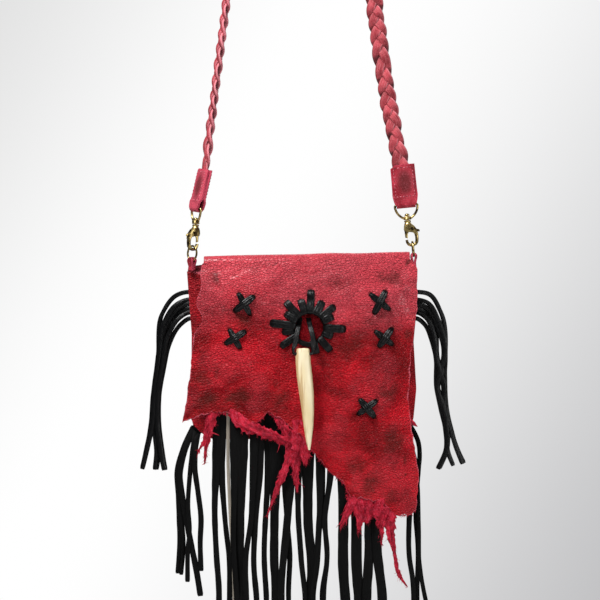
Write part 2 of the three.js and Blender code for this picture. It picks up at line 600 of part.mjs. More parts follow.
function hookBody() {
  const claw = new THREE.Shape();
  claw.moveTo(-2.9, -18);
  claw.lineTo(2.9, -18);
  claw.bezierCurveTo(6, -19, 8.6, -24, 8.6, -30);
  claw.bezierCurveTo(8.6, -36, 6, -39, 2.4, -39);
  claw.bezierCurveTo(-1, -39, -3.4, -36.6, -3.7, -32.4);
  claw.lineTo(-1.2, -32.2);
  claw.bezierCurveTo(-1.1, -34.8, -0.4, -36, 1, -36);
  claw.lineTo(3.8, -36);
  claw.bezierCurveTo(5, -36, 5.5, -34, 5.5, -30.5);
  claw.bezierCurveTo(5.5, -27.5, 4.6, -25.4, 2.6, -25.2);
  claw.lineTo(-3.6, -25.2);
  claw.bezierCurveTo(-4.3, -22.5, -4, -20, -2.9, -18);
  const slot = new THREE.BoxGeometry(16, 2 * HOOK.slotHalf, 6.8);
  slot.translate(2, 0, -23);
  const collarTop = -EYE.height - EYE.bossHeight / 2 - 0.4;
  const headBottom = -EYE.height + EYE.bossHeight / 2 + 0.4;
  const pin = [
    bar(2.9, -18.4, collarTop, 8), bar(1.1, collarTop - 0.2, headBottom + 0.2, 6),
    bar(2.2, headBottom, headBottom + 2.2, 8),
  ];
  const claws = solid(plate(claw, HOOK.halfThickness, HOOK.bevel)).subtract(solid(slot));
  const pivotHalf = HOOK.slotHalf + 0.5;
  const pivot = bar(PIVOT.pin, -pivotHalf, pivotHalf, 8).rotateX(Math.PI / 2).translate(PIVOT.x, 0, PIVOT.z);
  return geometryOf(claws.add(fuse([...pin, pivot])));
}

function gateBody() {
  const lever = outline([
    [9.4, -26], [10.3, -25], [9.8, -23.7], [7.4, -23.1], [4.9, -21.4], [3, -20.6], [0.8, -21], [-2.8, -22.4],
    [-3.7, -25], [-3.6, -30.2], [-1.2, -31.2], [-1, -27.4], [0.4, -25], [3, -24.4], [5.4, -24.2], [7.6, -25.4],
  ]);
  const hole = new THREE.Path();
  hole.absarc(PIVOT.x, PIVOT.z, PIVOT.hole, 0, 2 * Math.PI, true);
  lever.holes.push(hole);
  return plate(lever, HOOK.gateHalf);
}

function cornerRingBody() {
  const geometry = new THREE.TorusGeometry(RING.radius, RING.wire, 6, 14);
  geometry.rotateY(Math.PI / 2).translate(RING_SEAT.x, 0, RING_SEAT.z - RING.radius);
  return geometryOf(solid(geometry));
}

// Leather loop round the ring's lower wire, tapering to the foot that is sewn to the pouch
function ringLoopBody(wireHeight) {
  const { width, wall: leather, holeHalf, foot, footHalf } = RING_LOOP;
  const crown = wireHeight + RING.wire + 1.5;
  const outerHalf = holeHalf + leather;
  const loop = new THREE.Shape();
  loop.moveTo(-footHalf, foot);
  loop.lineTo(footHalf, foot);
  loop.lineTo(outerHalf, wireHeight - 2);
  loop.lineTo(outerHalf, crown - holeHalf);
  loop.absarc(0, crown - holeHalf, outerHalf, 0, Math.PI, false);
  loop.lineTo(-outerHalf, wireHeight - 2);
  const hole = new THREE.Path();
  hole.moveTo(-holeHalf, wireHeight - RING.wire - 0.8);
  hole.lineTo(-holeHalf, crown - holeHalf);
  hole.absarc(0, crown - holeHalf, holeHalf, Math.PI, 0, true);
  hole.lineTo(holeHalf, wireHeight - RING.wire - 0.8);
  loop.holes.push(hole);
  return plate(loop, width / 2);
}

function named(parent, name, geometry, finish) {
  const mesh = new THREE.Mesh(geometry, new THREE.MeshStandardMaterial(finish));
  mesh.name = name;
  parent.add(mesh);
}

// Group that leans about Y and then turns about its own upright axis
function leaning(parent, leanDegrees, turnDegrees) {
  const lean = new THREE.Group();
  lean.rotation.y = THREE.MathUtils.degToRad(leanDegrees);
  const turn = new THREE.Group();
  turn.rotation.z = THREE.MathUtils.degToRad(turnDegrees);
  lean.add(turn);
  parent.add(lean);
  return turn;
}

const whole = new THREE.Group();
const bag = new THREE.Group();
bag.position.z = -FOLD_DROP;
whole.add(bag);

named(whole, 'braided_strap', strapBody(), RED_LEATHER);
named(bag, 'back_and_flap', hideBody(), RED_LEATHER);
named(bag, 'pouch_front', pouchFrontBody(), RED_LEATHER);
named(bag, 'lacing_ring', lacingRingBody(), BLACK_LACE);
named(bag, 'pendant_lace', pendantLaceBody(), BLACK_LACE);
named(bag, 'tooth_pendant', toothBody(), BONE);
named(bag, 'fringe_front', fringeFrontBody(), BLACK_LACE);
CROSS_STITCHES.forEach((stitch, order) => {
  named(bag, `cross_stitch_${order + 1}`, crossStitchBody(stitch), BLACK_LACE);
});

for (const side of ['left', 'right']) {
  named(bag, `side_tassel_${side}`, tasselBody(TASSELS[side]), BLACK_LACE);
  named(bag, `fringe_corner_${side}`, cornerFringeBody(CORNER_FRINGES[side]), BLACK_LACE);

  const { x, y, z, tabLean, lean, tabTurn, hookTurn } = CLASPS[side];
  const clasp = new THREE.Group();
  clasp.position.set(x, y, z);
  bag.add(clasp);
  named(leaning(clasp, tabLean, tabTurn), `strap_tab_${side}`, tabBody(), RED_LEATHER);
  named(leaning(clasp, lean, tabTurn), `clasp_eye_${side}`, eyeBody(), BRASS);
  const claw = leaning(clasp, lean, hookTurn);
  named(claw, `clasp_hook_${side}`, hookBody(), BRASS);
  named(claw, `clasp_gate_${side}`, gateBody(), BRASS);
  named(claw, `corner_ring_${side}`, cornerRingBody(), BRASS);

  bag.updateMatrixWorld(true);
  const lowerWire = new THREE.Vector3(RING_SEAT.x, 0, RING_SEAT.z - 2 * RING.radius).applyMatrix4(claw.matrixWorld);
  bag.worldToLocal(lowerWire);
  const loop = new THREE.Group();
  loop.position.set(lowerWire.x, lowerWire.y, 0);
  loop.rotation.z = THREE.MathUtils.degToRad(hookTurn);
  bag.add(loop);
  named(loop, `ring_loop_${side}`, ringLoopBody(lowerWire.z), RED_LEATHER);
}

export default whole;
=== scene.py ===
"""Looks of the fringe crossbody bag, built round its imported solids.

Shapes are worked out in millimetres with +Z up and the front facing -Y: the bag's from the top of the
flap's fold, the strap's from the point where its loop hangs.
"""
import math

import bpy
import numpy as np
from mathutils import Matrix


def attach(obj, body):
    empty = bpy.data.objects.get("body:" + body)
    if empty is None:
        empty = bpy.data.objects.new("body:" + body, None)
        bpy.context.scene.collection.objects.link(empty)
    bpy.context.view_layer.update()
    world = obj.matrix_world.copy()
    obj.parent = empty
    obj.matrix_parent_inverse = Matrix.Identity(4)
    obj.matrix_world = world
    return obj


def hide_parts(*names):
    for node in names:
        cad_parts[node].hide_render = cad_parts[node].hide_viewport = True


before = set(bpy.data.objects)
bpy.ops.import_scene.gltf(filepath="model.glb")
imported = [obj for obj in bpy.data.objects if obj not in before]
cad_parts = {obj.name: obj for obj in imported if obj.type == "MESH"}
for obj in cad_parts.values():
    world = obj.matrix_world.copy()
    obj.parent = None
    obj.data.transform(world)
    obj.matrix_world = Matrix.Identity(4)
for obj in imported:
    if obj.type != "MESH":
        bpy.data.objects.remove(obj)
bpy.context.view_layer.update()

# Metres in a millimetre
MM = 0.001
# Sizes shared with the solids, in millimetres
FOLD_DROP = 597
WALL = 1.8
BACK_MID_Y = 11.1
SEAM_Y = 9.9
FOLD_HEIGHT = 8
POUCH_TOP = -16
POUCH_BOTTOM = -168.3
POUCH_SEAM_Y = 9.0
POUCH_BULGE = 14
HOLE_X, HOLE_Z, HOLE_RADIUS = 8.6, -67, 14.7
RING_RADIUS, RING_WIRE = 6.6, 0.9
RING_SEAT = (2.5, 0, -34.4)
PIVOT = (3, 0, -22.3)
EYE_HEIGHT = 12.8
TAB_LENGTH = 36
TAB_LEAF = 2.65
TOOTH_Y = -21.6
TOOTH_BORE_Z = -90.5
# The hide's plain width, rise of its fold across, greatest wrinkle and reach of the dip at a slit
HIDE_WIDTH = 200
FOLD_TILT = 0.018
FLAP_RELIEF = 2.3
SLIT_RADIUS = 2.4
# Furthest forward that a torn fibre reaches, clear of the swinging tooth
FIBRES_FRONT = -15.6
# Laces: size of a cross's arm, width of a wrap, points round a profile and depth of its grooves, as a share
LACE_WIDTH = 5.8
LACE_THICKNESS = 2.6
WRAP_WIDTH = 7
LACE_SIDES = 28
LACE_GROOVE = 0.34
# Grooves of any profile: their place and width, as shares of its half width
GROOVE_PLACE, GROOVE_WIDTH = 0.36, 0.13
# Fringe strips' thickness, length of strap for one turn of the plait, and distance between stitches
STRIP_THICKNESS = 1.5
BRAID_PERIOD = 42
STITCH_STEP = 3.1
# Random heights along each side of the noise lattice
LATTICE = 64
# The way that the bag's front faces, and the other way
FRONT = np.array((0.0, -1.0, 0.0))
BACKWARDS = np.array((0.0, 1.0, 0.0))

# Outlines: height down from the fold, and x
FLAP_LEFT = [
    (-235, -104), (-158, -104), (-152, -107), (-139, -103.5), (-112, -99.5), (-85, -97.4), (-73, -95.9),
    (-61, -87), (-44, -94), (-29, -88), (-13, -90.8), (-6, -87),
]
FLAP_RIGHT = [
    (-235, 104.4), (-211, 106.2), (-199, 107), (-171, 102.6), (-132, 98.1), (-96, 99.9), (-65, 102.8),
    (-53, 105.6), (-14, 105.6), (-6, 99.4),
]
POUCH_LEFT = [
    (-168.3, -80), (-163, -89.6), (-156, -96.8), (-149, -98.6), (-73, -98), (-48, -100), (-16, -102.4),
    (-9, -101.5), (-8, -87.4),
]
POUCH_RIGHT = [
    (-168.3, 84), (-163, 96), (-157, 100), (-150, 102.8), (-123, 105.3), (-80, 102.8), (-53, 105.4),
    (-16, 106.2), (-9, 105.6), (-8, 99.4),
]
# Torn lower edge: share of the width from the left, and height
TORN_EDGE = [
    (0, -152), (0.036, -149), (0.103, -144), (0.2, -144), (0.25, -148), (0.304, -154), (0.352, -149),
    (0.367, -142), (0.403, -147), (0.445, -151), (0.507, -163), (0.541, -174), (0.577, -184.5),
    (0.626, -198), (0.683, -207), (0.71, -219.6), (0.782, -222), (0.829, -222.5), (0.871, -227.7),
    (0.914, -235.5), (0.967, -236.5), (1, -231),
]
# Torn strips: route as x and z, width at the root and at the tip, how far it turns, in degrees
TORN_STRIPS = [
    ([(-77, -138), (-83, -158), (-86, -170), (-91.8, -178)], 10, 2, 35),
    ([(-80, -150), (-84, -168), (-86, -189.5)], 7, 2, -30),
    ([(-62, -140), (-48, -154), (-36, -160), (-20, -166), (-7, -173)], 11, 10, 25),
    ([(-22, -142), (-17, -152), (-12, -164), (-8, -173)], 8, 6, 20),
    ([(-3, -150), (-3, -172), (-4, -196), (-2.7, -215)], 15, 3, -40),
    ([(1, -158), (4, -176), (5, -190)], 12, 6, 30),
    ([(-6, -170), (-15, -198), (-24, -221), (-30, -237)], 9, 2, 50),
    ([(48, -212), (46, -226), (41, -236), (36.5, -247.5)], 13, 2.5, 20),
    ([(53, -213), (52, -230), (54, -240), (52.5, -251)], 14, 3, -25),
    ([(61, -214), (61, -230), (60, -238), (59, -243)], 14, 8, 15),
    ([(69, -215), (70, -232), (72, -240), (70, -246)], 14, 7, -20),
    ([(76, -217), (75, -236), (73, -250), (73.4, -263)], 12, 2.5, 30),
    ([(83, -220), (81, -240), (82.5, -257), (85.5, -272), (88.5, -288), (97, -301.5)], 11, 2, -60),
    ([(97.5, -151), (101.5, -153.4), (104.2, -155.4), (106.2, -156.6)], 7.5, 1.6, 24),
]
# Dark places on the flap, worn patches and, at the fold's two open ends, painted shade: x, z, radius,
# strength
DARK_PLACES = [
    (-77.9, -20.1, 6, 0.8), (-40.5, -12.6, 9, 0.5), (-23.4, -7, 10, 0.4), (-52.2, -60.3, 8, 0.7),
    (-46.4, -28.8, 7, 0.3), (36.9, -25.8, 8, 0.55), (84.2, -24.3, 9, 0.65), (69.9, -58.5, 8, 0.6),
    (98.6, -71.7, 6, 0.7), (-89.4, -113.4, 8, 0.75), (-75, -106, 6, 0.6), (-54.9, -129.2, 8, 0.9),
    (-86.4, -133.2, 9, 0.7), (-16.2, -132, 10, 0.75), (-27.6, -114.8, 9, 0.4), (-36.3, -99, 7, 0.3),
    (81.5, -126.3, 9, 0.75), (63.9, -100.4, 7, 0.35), (-92, -80, 7, 0.4), (82.8, -169.2, 11, 0.8),
    (21.2, -166.5, 9, 0.4), (49.9, -190.8, 10, 0.7), (95.4, -186.3, 5, 0.8), (94.3, -198.9, 1.4, 1.3),
    (62.7, -207.9, 12, 0.75), (84.2, -219.6, 6, 0.6), (44, -84.6, 9, 0.35), (-86.5, -9, 2.2, 1.3),
    # The place at (-86.5, -9) above and this one are painted shade in the fold's open ends
    (98, -9.5, 2.4, 1.2),
]
# Crosses: x and z of both ends of the lower arm, then of the upper arm
CROSS_STITCHES = [
    (((-55.4, -36), (-44.6, -55.8)), ((-41, -38.7), (-59.4, -52.7))),
    (((-63.9, -68.4), (-53.6, -86)), ((-48.6, -70.2), (-67.5, -81.9))),
    (((63, -36.9), (81, -51.3)), ((77.4, -33.8), (66.6, -54.9))),
    (((67.5, -70.2), (83.7, -82.8)), ((83.3, -67.5), (70.7, -84.6))),
    (((69.3, -132.3), (51.8, -145.4)), ((53.6, -131.4), (67.5, -148.1))),
]
# Wraps round the hole: x and z of the slit at each one's outer end
WRAP_TIPS = [
    (9.9, -34.2), (19.8, -44.1), (30.6, -48.2), (28.8, -57.2), (40, -68.4), (28.4, -74.7), (27, -87.3),
    (14.4, -89.6), (-16.7, -83.7), (-15.3, -71.1), (-26.1, -63), (-12.6, -54.9), (-12.2, -44.6), (0.9, -42.8),
]
# Front fringe: x at each of the heights below, width, height of the end, layer to the back, pale side out
FRINGE_HEIGHTS = (-137, -200, -240, -275, -310)
FRINGE_STRIPS = [
    ((-74, -75.9, -77, -75.5, -73), 5.6, -326, 0, 0),
    ((-69.4, -70.8, -67.8, -64, -63.4), 5, -338, 1, 0),
    ((-65, -64.8, -62.8, -60.5, -60), 3.2, -324, 2, 1),
    ((-59.4, -59.6, -59.6, -59.2, -57.6), 5.2, -318, -1, 0),
    ((-56.2, -56.6, -56.6, -56, -55), 5.4, -333, 1, 0),
    ((-51.4, -52.4, -53.4, -53.6, -51.6), 7.2, -335, 0, 0),
    ((-41.4, -42.2, -44, -48.4, -47.8), 5, -340, -1, 0),
    ((-36, -36.8, -40.2, -41.6, -39.6), 5.4, -330, 0, 0),
    ((-28.8, -28.8, -30.8, -32, -30.6), 5.2, -316, 1, 0),
    ((-21.4, -22, -23.2, -23.4, -21.6), 8, -336, 0, 0),
    ((-9.4, -8.2, -11.4, -14.6, -17.2), 6.8, -325, -1, 0),
    ((-14.4, -13.8, -11.8, -9.2, -10.8), 5, -333, 1, 0),
    ((-2, -1.9, -1.8, 0.8, 4.5), 5.2, -340, 0, 0),
    ((7, 6.8, 7.4, 10, 9), 8.6, -332, 1, 0),
    ((18, 18, 17.8, 15.4, 11.6), 5.8, -320, 0, 0),
    ((28, 27.4, 22.8, 24.8, 21.4), 4.8, -338, -1, 0),
    ((21.6, 20, 21.6, 25, 20), 4.6, -328, 1, 0),
    ((39.6, 39.6, 39.5, 39.4, 40.6), 9.8, -328, 0, 0),
    ((50.4, 50.4, 50.6, 51, 53), 10, -340, 1, 0),
    ((61.6, 62, 62, 62, 60.4), 8.8, -318, 0, 0),
    ((68.4, 68.4, 69, 70.2, 74), 9, -334, -1, 0),
]
# Band that the front fringe hangs from, and the distance from one layer of strips to the next
FRINGE_HEAD = {"top": -126, "bottom": -140, "left": -80, "right": 75, "thickness": 2.2, "layer": 1.9}
# How far from a tassel's outermost lace to its innermost one each of its laces lies
SPREADS = {
    "shoulder": (0, 0.29, 0.45, 0.61, 0.78, 1), "even": (0, 0.2, 0.4, 0.6, 0.8, 1),
    "parted": (0, 0.1, 0.28, 0.76, 0.9, 1), "crossed": (0, 0.5, 0.74, 0.26, 0.56, 1),
    "left_low": (0, 0.05, 0.68, 0.76, 0.93, 1), "left_tips": (0, 0.04, 0.56, 0.62, 0.96, 1),
    "right_low": (0, 0.08, 0.82, 0.88, 0.94, 1), "right_tips": (0, 0.06, 0.4, 0.93, 0.97, 1),
}
# Side tassels: x and z of the outermost and of the innermost lace, and the spread between them
TASSELS = {
    "left": [
        ((-112.5, -38), (-108, -64), "shoulder"), ((-125, -54), (-118, -80), "shoulder"),
        ((-129.4, -92), (-123.4, -102), "even"), ((-133.6, -130), (-128.4, -132), "even"),
        ((-136, -156), (-128.4, -157), "even"), ((-141, -182), (-125, -182), "left_low"),
        ((-144.2, -196), (-122.4, -197), "left_tips"),
    ],
    "right": [
        ((117.5, -37), (113, -64), "shoulder"), ((128, -53), (119.4, -78), "shoulder"),
        ((132.4, -95), (123.8, -98), "parted"), ((132, -108), (123.8, -108), "crossed"),
        ((132.4, -120), (123.8, -120), "parted"), ((133.8, -140), (127.6, -140), "crossed"),
        ((137.6, -160), (132, -160), "even"), ((143, -178), (132.6, -178), "right_low"),
        ((149, -191), (125.2, -196), "right_tips"),
    ],
}
# Heights where a tassel's laces leave the seam, and a lace's size
TASSEL = {"exit_top": -35, "exit_drop": 24, "width": 4.2, "thickness": 2.2}
# Corner fringes: the seat along the pouch's corner, then each strip's route and width
CORNER_FRINGES = {
    "left": ([(-97.6, -156.2), (-94.2, -159.8), (-90, -163.8)], [
        ([(-97, -157), (-106.2, -177), (-111.6, -197), (-110.4, -222), (-109.8, -258), (-111.6, -291)], 4.6),
        ([(-96.6, -158), (-105.4, -178), (-110.4, -200), (-109, -230), (-106, -262), (-108, -292)], 4),
        ([(-96, -158.5), (-104.6, -179), (-109, -200), (-106.4, -224), (-101.6, -250), (-95, -282),
          (-90.5, -311)], 5.6),
        ([(-94.6, -160), (-97.4, -177), (-99.4, -195), (-101.4, -228), (-100, -250), (-101.8, -270),
          (-101.8, -298)], 4.4),
        ([(-92.6, -162), (-94.6, -177), (-95.2, -195), (-92.4, -216), (-89.4, -240), (-90.2, -262),
          (-89.6, -288)], 5),
    ]),
    "right": ([(99.6, -154.5), (98, -159), (95, -164)], [
        ([(99.8, -156), (103.8, -162.6), (107.4, -171), (108.8, -182), (107.8, -196), (105.4, -237),
          (106.8, -270), (106.2, -309), (106.6, -336)], 4.4),
        ([(99, -158), (100.2, -171), (101.4, -184), (101.6, -205), (99.2, -240), (99.2, -276), (102.6, -298),
          (103.6, -330)], 5),
        ([(98, -161), (101.6, -176), (104.6, -188), (106.4, -207), (107.8, -250), (108.8, -283), (111, -300),
          (115.4, -322)], 4),
    ]),
}
# Tooth: height, middle x, width, depth
TOOTH_SECTIONS = [
    (-86.4, 2.7, 10.5, 7.4), (-89, 2.7, 13, 8.8), (-96, 2.7, 13.4, 9), (-110, 3.9, 14, 9.2),
    (-126, 5.7, 13.2, 8.6), (-142, 7, 11, 7.4), (-156, 7.6, 8.6, 6), (-170, 7.9, 4.6, 3.6),
    (-176.4, 8.3, 1.6, 1.4),
]
# Pendant's lace: x, y and z from one anchor on the pouch through the tooth's bore to the other anchor
PENDANT_LACE = [
    (0, -6.8, -58.5), (-0.7, -9, -62.5), (-1.6, -14, -67.5), (-3, -17.6, -74), (-4.6, -19.8, -82),
    (-6, -21.4, -87.6), (-5.6, -21.6, -90), (-3.6, -21.6, -90.5), (2.7, -21.6, -90.5), (9, -21.6, -90.5),
    (11, -21.6, -90), (11.4, -21.4, -87.6), (12, -19.8, -82), (11.2, -17.6, -74), (9.6, -14, -67.5),
    (8.4, -9, -62.5), (7.6, -6.8, -58.5),
]
# Strap: x, y and z from the left tab over the hang point to the right tab
STRAP_ROUTE = [
    (-92, 5.5, -547.3), (-86.3, 5.5, -521.8), (-81.7, 5, -486.3), (-66.6, 3.5, -369), (-40.5, 1.5, -190),
    (-14.9, 0, -14.5), (-10.6, 0, -1.9), (0, 0, 2.5), (10.6, 0, -1.9), (14.9, 0, -14.5), (40, 2, -190),
    (67, 4.5, -369), (85.2, 6, -486.3), (91.6, 6.4, -517), (94.6, 6.4, -543.4),
]
# Share of the strap's length, and turn of its flat about Z there, in degrees
STRAP_TURN = [
    (0, -64), (0.03, -64), (0.07, -74), (0.3, -74), (0.46, -90), (0.56, -90), (0.7, -50), (0.85, 0), (1, 0),
]
# Each clasp: the eye's bar, lean of the tab, lean of the clasp, turn of tab and eye, turn of the claw
CLASPS = {
    "left": ((-94, 5.5, 41), 13, 2.5, -64, 220),
    "right": ((96.2, 6.4, 44.7), -5.5, -5.5, 0, 0),
}
# Claw, its neck and gate: matching points on the inner and the outer line, as x and z
CLAW_RUNGS = [
    ((-2.9, -18), (2.9, -18)), ((-3.9, -20.5), (5.2, -19.8)), ((-4.2, -23), (7.2, -22.6)),
    ((-3.6, -25.2), (8.1, -25.5)), ((0, -25.3), (8.35, -26.8)), ((3.2, -25.5), (8.5, -28.2)),
    ((5, -27.4), (8.6, -30)), ((5.5, -30.5), (8.5, -32.4)), ((5.3, -33.6), (7.9, -35.4)),
    ((4.4, -35.7), (6.2, -37.7)), ((3, -36), (3, -39)), ((1.2, -36), (0.4, -38.7)),
    ((-0.3, -35.3), (-2, -37.4)), ((-1, -34), (-3.2, -35.2)), ((-1.2, -32.3), (-3.7, -32.5)),
]
NECK_RUNGS = [((-3.1, -17.8), (3.1, -17.8)), ((-3.6, -19.2), (4, -19.2)), ((-3.9, -20.4), (5.4, -20))]
GATE_RUNGS = [
    ((9.5, -26), (10.3, -24.9)), ((8.3, -25.5), (9.7, -23.7)), ((6.6, -24.6), (7.4, -23)),
    ((5, -24.2), (4.9, -21.4)), ((3, -24.4), (3, -20.6)), ((0.6, -25), (0.8, -21)),
    ((-0.4, -26.2), (-2.8, -22.4)), ((-1, -27.6), (-3.7, -25)), ((-1.1, -29.4), (-3.65, -28)),
    ((-1.2, -31.1), (-3.55, -30.2)),
]
# Every slit in the flap, as x and z
LACE_ENDS = np.array([end for cross in CROSS_STITCHES for arm in cross for end in arm] + WRAP_TIPS)


# Number helpers

def smoothstep(value, low, high):
    """Eased step: 0 below low, 1 above high and a cubic between."""
    share = np.clip((value - low) / (high - low), 0, 1)
    return share * share * (3 - 2 * share)


def from_table(table, at, blur=0.0):
    """Second column of a table where the first is at: straight between rows, averaged over blur each way."""
    rows = np.array(sorted(table), float)
    steps = np.linspace(-blur, blur, 5)
    return np.mean([np.interp(at + step, rows[:, 0], rows[:, 1]) for step in steps], axis=0)


def between(start, end, share):
    """The value that share of the way from start to end."""
    return start + (end - start) * share


def points_at(x, y, z):
    """Points from their three coordinates, each spread over the whole grid."""
    return np.stack(np.broadcast_arrays(x, y, z), axis=-1)


def lattice_noise(x, z, size, seed):
    """Noise from -1 to 1: random heights on a square lattice of that size, eased from corner to corner."""
    heights = np.random.default_rng(seed).uniform(-1, 1, (LATTICE, LATTICE))
    across, down = np.asarray(x) / size, np.asarray(z) / size
    column, row = np.floor(across).astype(int), np.floor(down).astype(int)
    right, lower = smoothstep(across - column, 0, 1), smoothstep(down - row, 0, 1)

    def along_row(number):
        """Mix of the heights at the two columns beside each place, on that row of the lattice."""
        here = heights[number % LATTICE, column % LATTICE]
        there = heights[number % LATTICE, (column + 1) % LATTICE]
        return between(here, there, right)

    return between(along_row(row), along_row(row + 1), lower)


def line_noise(at, size, seed):
    """Lattice noise along a line."""
    return lattice_noise(at, 0 * at, size, seed)


def unit(vectors):
    """Each vector divided by its length."""
    return vectors / np.maximum(np.linalg.norm(vectors, axis=-1, keepdims=True), 1e-9)


def tilted(points, lean, turn):
    """Points turned about Z, then leaned about Y, both in degrees."""
    c, s = math.cos(math.radians(turn)), math.sin(math.radians(turn))
    turning = np.array([[c, -s, 0], [s, c, 0], [0, 0, 1]])
    c, s = math.cos(math.radians(lean)), math.sin(math.radians(lean))
    leaning = np.array([[c, 0, s], [0, 1, 0], [-s, 0, c]])
    return points @ (leaning @ turning).T


def distances(path):
    """Distance travelled along a path at each of its points."""
    return np.concatenate([[0], np.cumsum(np.linalg.norm(np.diff(path, axis=0), axis=1))])


def smooth_route(points, count, fine=40):
    """Evenly spaced points on a smooth curve through a route.

    Between two route points the curve is the cubic with both their places and slopes. A route point's slope
    is the weighted mean of the slopes on its two sides. The curve is measured in fine steps to a route point.
    """
    route = np.asarray(points, float)
    at = distances(route)
    slopes = np.gradient(route, at, axis=0)
    where = np.linspace(0, at[-1], fine * len(route))
    piece = np.clip(np.searchsorted(at, where, side="right") - 1, 0, len(at) - 2)
    span = (at[piece + 1] - at[piece])[:, None]
    share = (where - at[piece])[:, None] / span
    rise = share * share * (3 - 2 * share)
    curve = route[piece] * (1 - rise) + route[piece + 1] * rise
    curve += slopes[piece] * span * share * (1 - share) ** 2
    curve -= slopes[piece + 1] * span * share ** 2 * (1 - share)
    travelled = distances(curve)
    even = np.linspace(0, travelled[-1], count)
    return np.stack([np.interp(even, travelled, line) for line in curve.T], axis=1)


# Shapes: points, quads and values at the points

class Shape:
    """Points in millimetres, quads that face outwards, and named values at the points."""

    def __init__(self, points, faces, **values):
        used, quads = np.unique(faces, return_inverse=True)
        self.points = np.asarray(points, float).reshape(-1, 3)[used]
        self.faces = quads.reshape(-1, 4)
        self.values = {name: np.asarray(value, float).ravel()[used] for name, value in values.items()}
        a, b, c, d = (self.points[self.faces[:, corner]] for corner in range(4))
        if (a * (np.cross(b, c) + np.cross(c, d))).sum() < 0:
            self.faces = self.faces[:, ::-1]

    def placed(self, position, lean, turn):
        """This shape turned about Z, then leaned about Y, then moved."""
        self.points = tilted(self.points, lean, turn) + np.asarray(position, float)
        return self


def ring_angles(sides, offset=0.5):
    """Angles of a ring's points, the first one that share of a step round."""
    return 2 * np.pi * (np.arange(sides) + offset) / sides


def rounded_profile(sides, square):
    """A ring's points across and outwards: cosine and sine, each to the power square with its sign kept."""
    across, outward = np.cos(ring_angles(sides)), np.sin(ring_angles(sides))
    return np.sign(across) * np.abs(across) ** square, np.sign(outward) * np.abs(outward) ** square


def tube_faces(rows, sides, closed=False):
    """Quads round a tube of rows of points; an open tube's two ends are capped by quads across them."""
    index = np.arange(rows * sides).reshape(rows, sides)
    ring = np.hstack([index, index[:, :1]])
    if closed:
        ring = np.vstack([ring, ring[:1]])
    skin = np.stack([ring[:-1, :-1], ring[:-1, 1:], ring[1:, 1:], ring[1:, :-1]], axis=-1).reshape(-1, 4)
    if closed:
        return skin
    near = np.arange(sides // 2 - 1)
    cap = np.stack([near, sides - 1 - near, sides - 2 - near, near + 1], axis=-1)
    return np.concatenate([skin, cap, cap[:, ::-1] + index[-1, 0]])


def repeated_tubes(count, rows, sides):
    """Quads of that many open tubes, one after the other."""
    starts = rows * sides * np.arange(count)
    return (tube_faces(rows, sides)[None] + starts[:, None, None]).reshape(-1, 4)


def sides_facing(path, facing):
    """Unit vectors across a path: its slope crossed with the way that its broad side faces."""
    return unit(np.cross(np.gradient(path, axis=0), facing))


def carried(path, side, out, flat, tall, turn):
    """Sections on a path: flat to the side and tall outwards, after a turn of both by an angle."""
    right = flat * np.cos(turn) - tall * np.sin(turn)
    up = flat * np.sin(turn) + tall * np.cos(turn)
    return path[:, None] + right[..., None] * side[:, None] + up[..., None] * out[:, None]


def sweep(path, side, widths, heights, sides=12, square=0.7, closed=False, twist=0.0, groove=0.0):
    """Rounded flat profile carried along a path.

    At angle a the profile's point lies width/2 * cos a to the side and height/2 * sin a outwards, where each
    cosine and sine is raised to the power square and keeps its sign. Two grooves of that share of the height
    run along it, a third of the half width from its middle, and it is first turned by twist.
    """
    count = len(path)
    slope = np.roll(path, -1, 0) - np.roll(path, 1, 0) if closed else np.gradient(path, axis=0)
    side = np.broadcast_to(side, path.shape)
    out = unit(np.cross(side, unit(slope)))
    across, outward = rounded_profile(sides, square)
    outward = outward * (1 - groove * np.exp(-((np.abs(across) - GROOVE_PLACE) / GROOVE_WIDTH) ** 2))
    flat = across * np.broadcast_to(widths, count)[:, None] / 2
    tall = outward * np.broadcast_to(heights, count)[:, None] / 2
    grid = carried(path, side, out, flat, tall, np.broadcast_to(twist, count)[:, None])
    along = np.repeat(distances(path), sides)
    return Shape(grid, tube_faces(count, sides, closed), along=along, across=np.tile(across, count))


def lathe(profile, sides=24):
    """Surface of revolution about Z: each radius and height of the profile becomes a ring."""
    radius, height = np.array(profile, float).T[..., None]
    angle = ring_angles(sides, 0)
    grid = points_at(radius * np.cos(angle), radius * np.sin(angle), height)
    return Shape(grid, tube_faces(len(radius), sides))


def rounded_ends(count, share, least):
    """Size along a piece: 1 in the middle, down to least at each end on a quarter circle over that share."""
    at = np.linspace(0, 1, count)
    inwards = np.clip(np.minimum(at, 1 - at) / share, 0, 1)
    return least + (1 - least) * np.sqrt(1 - (1 - inwards) ** 2)


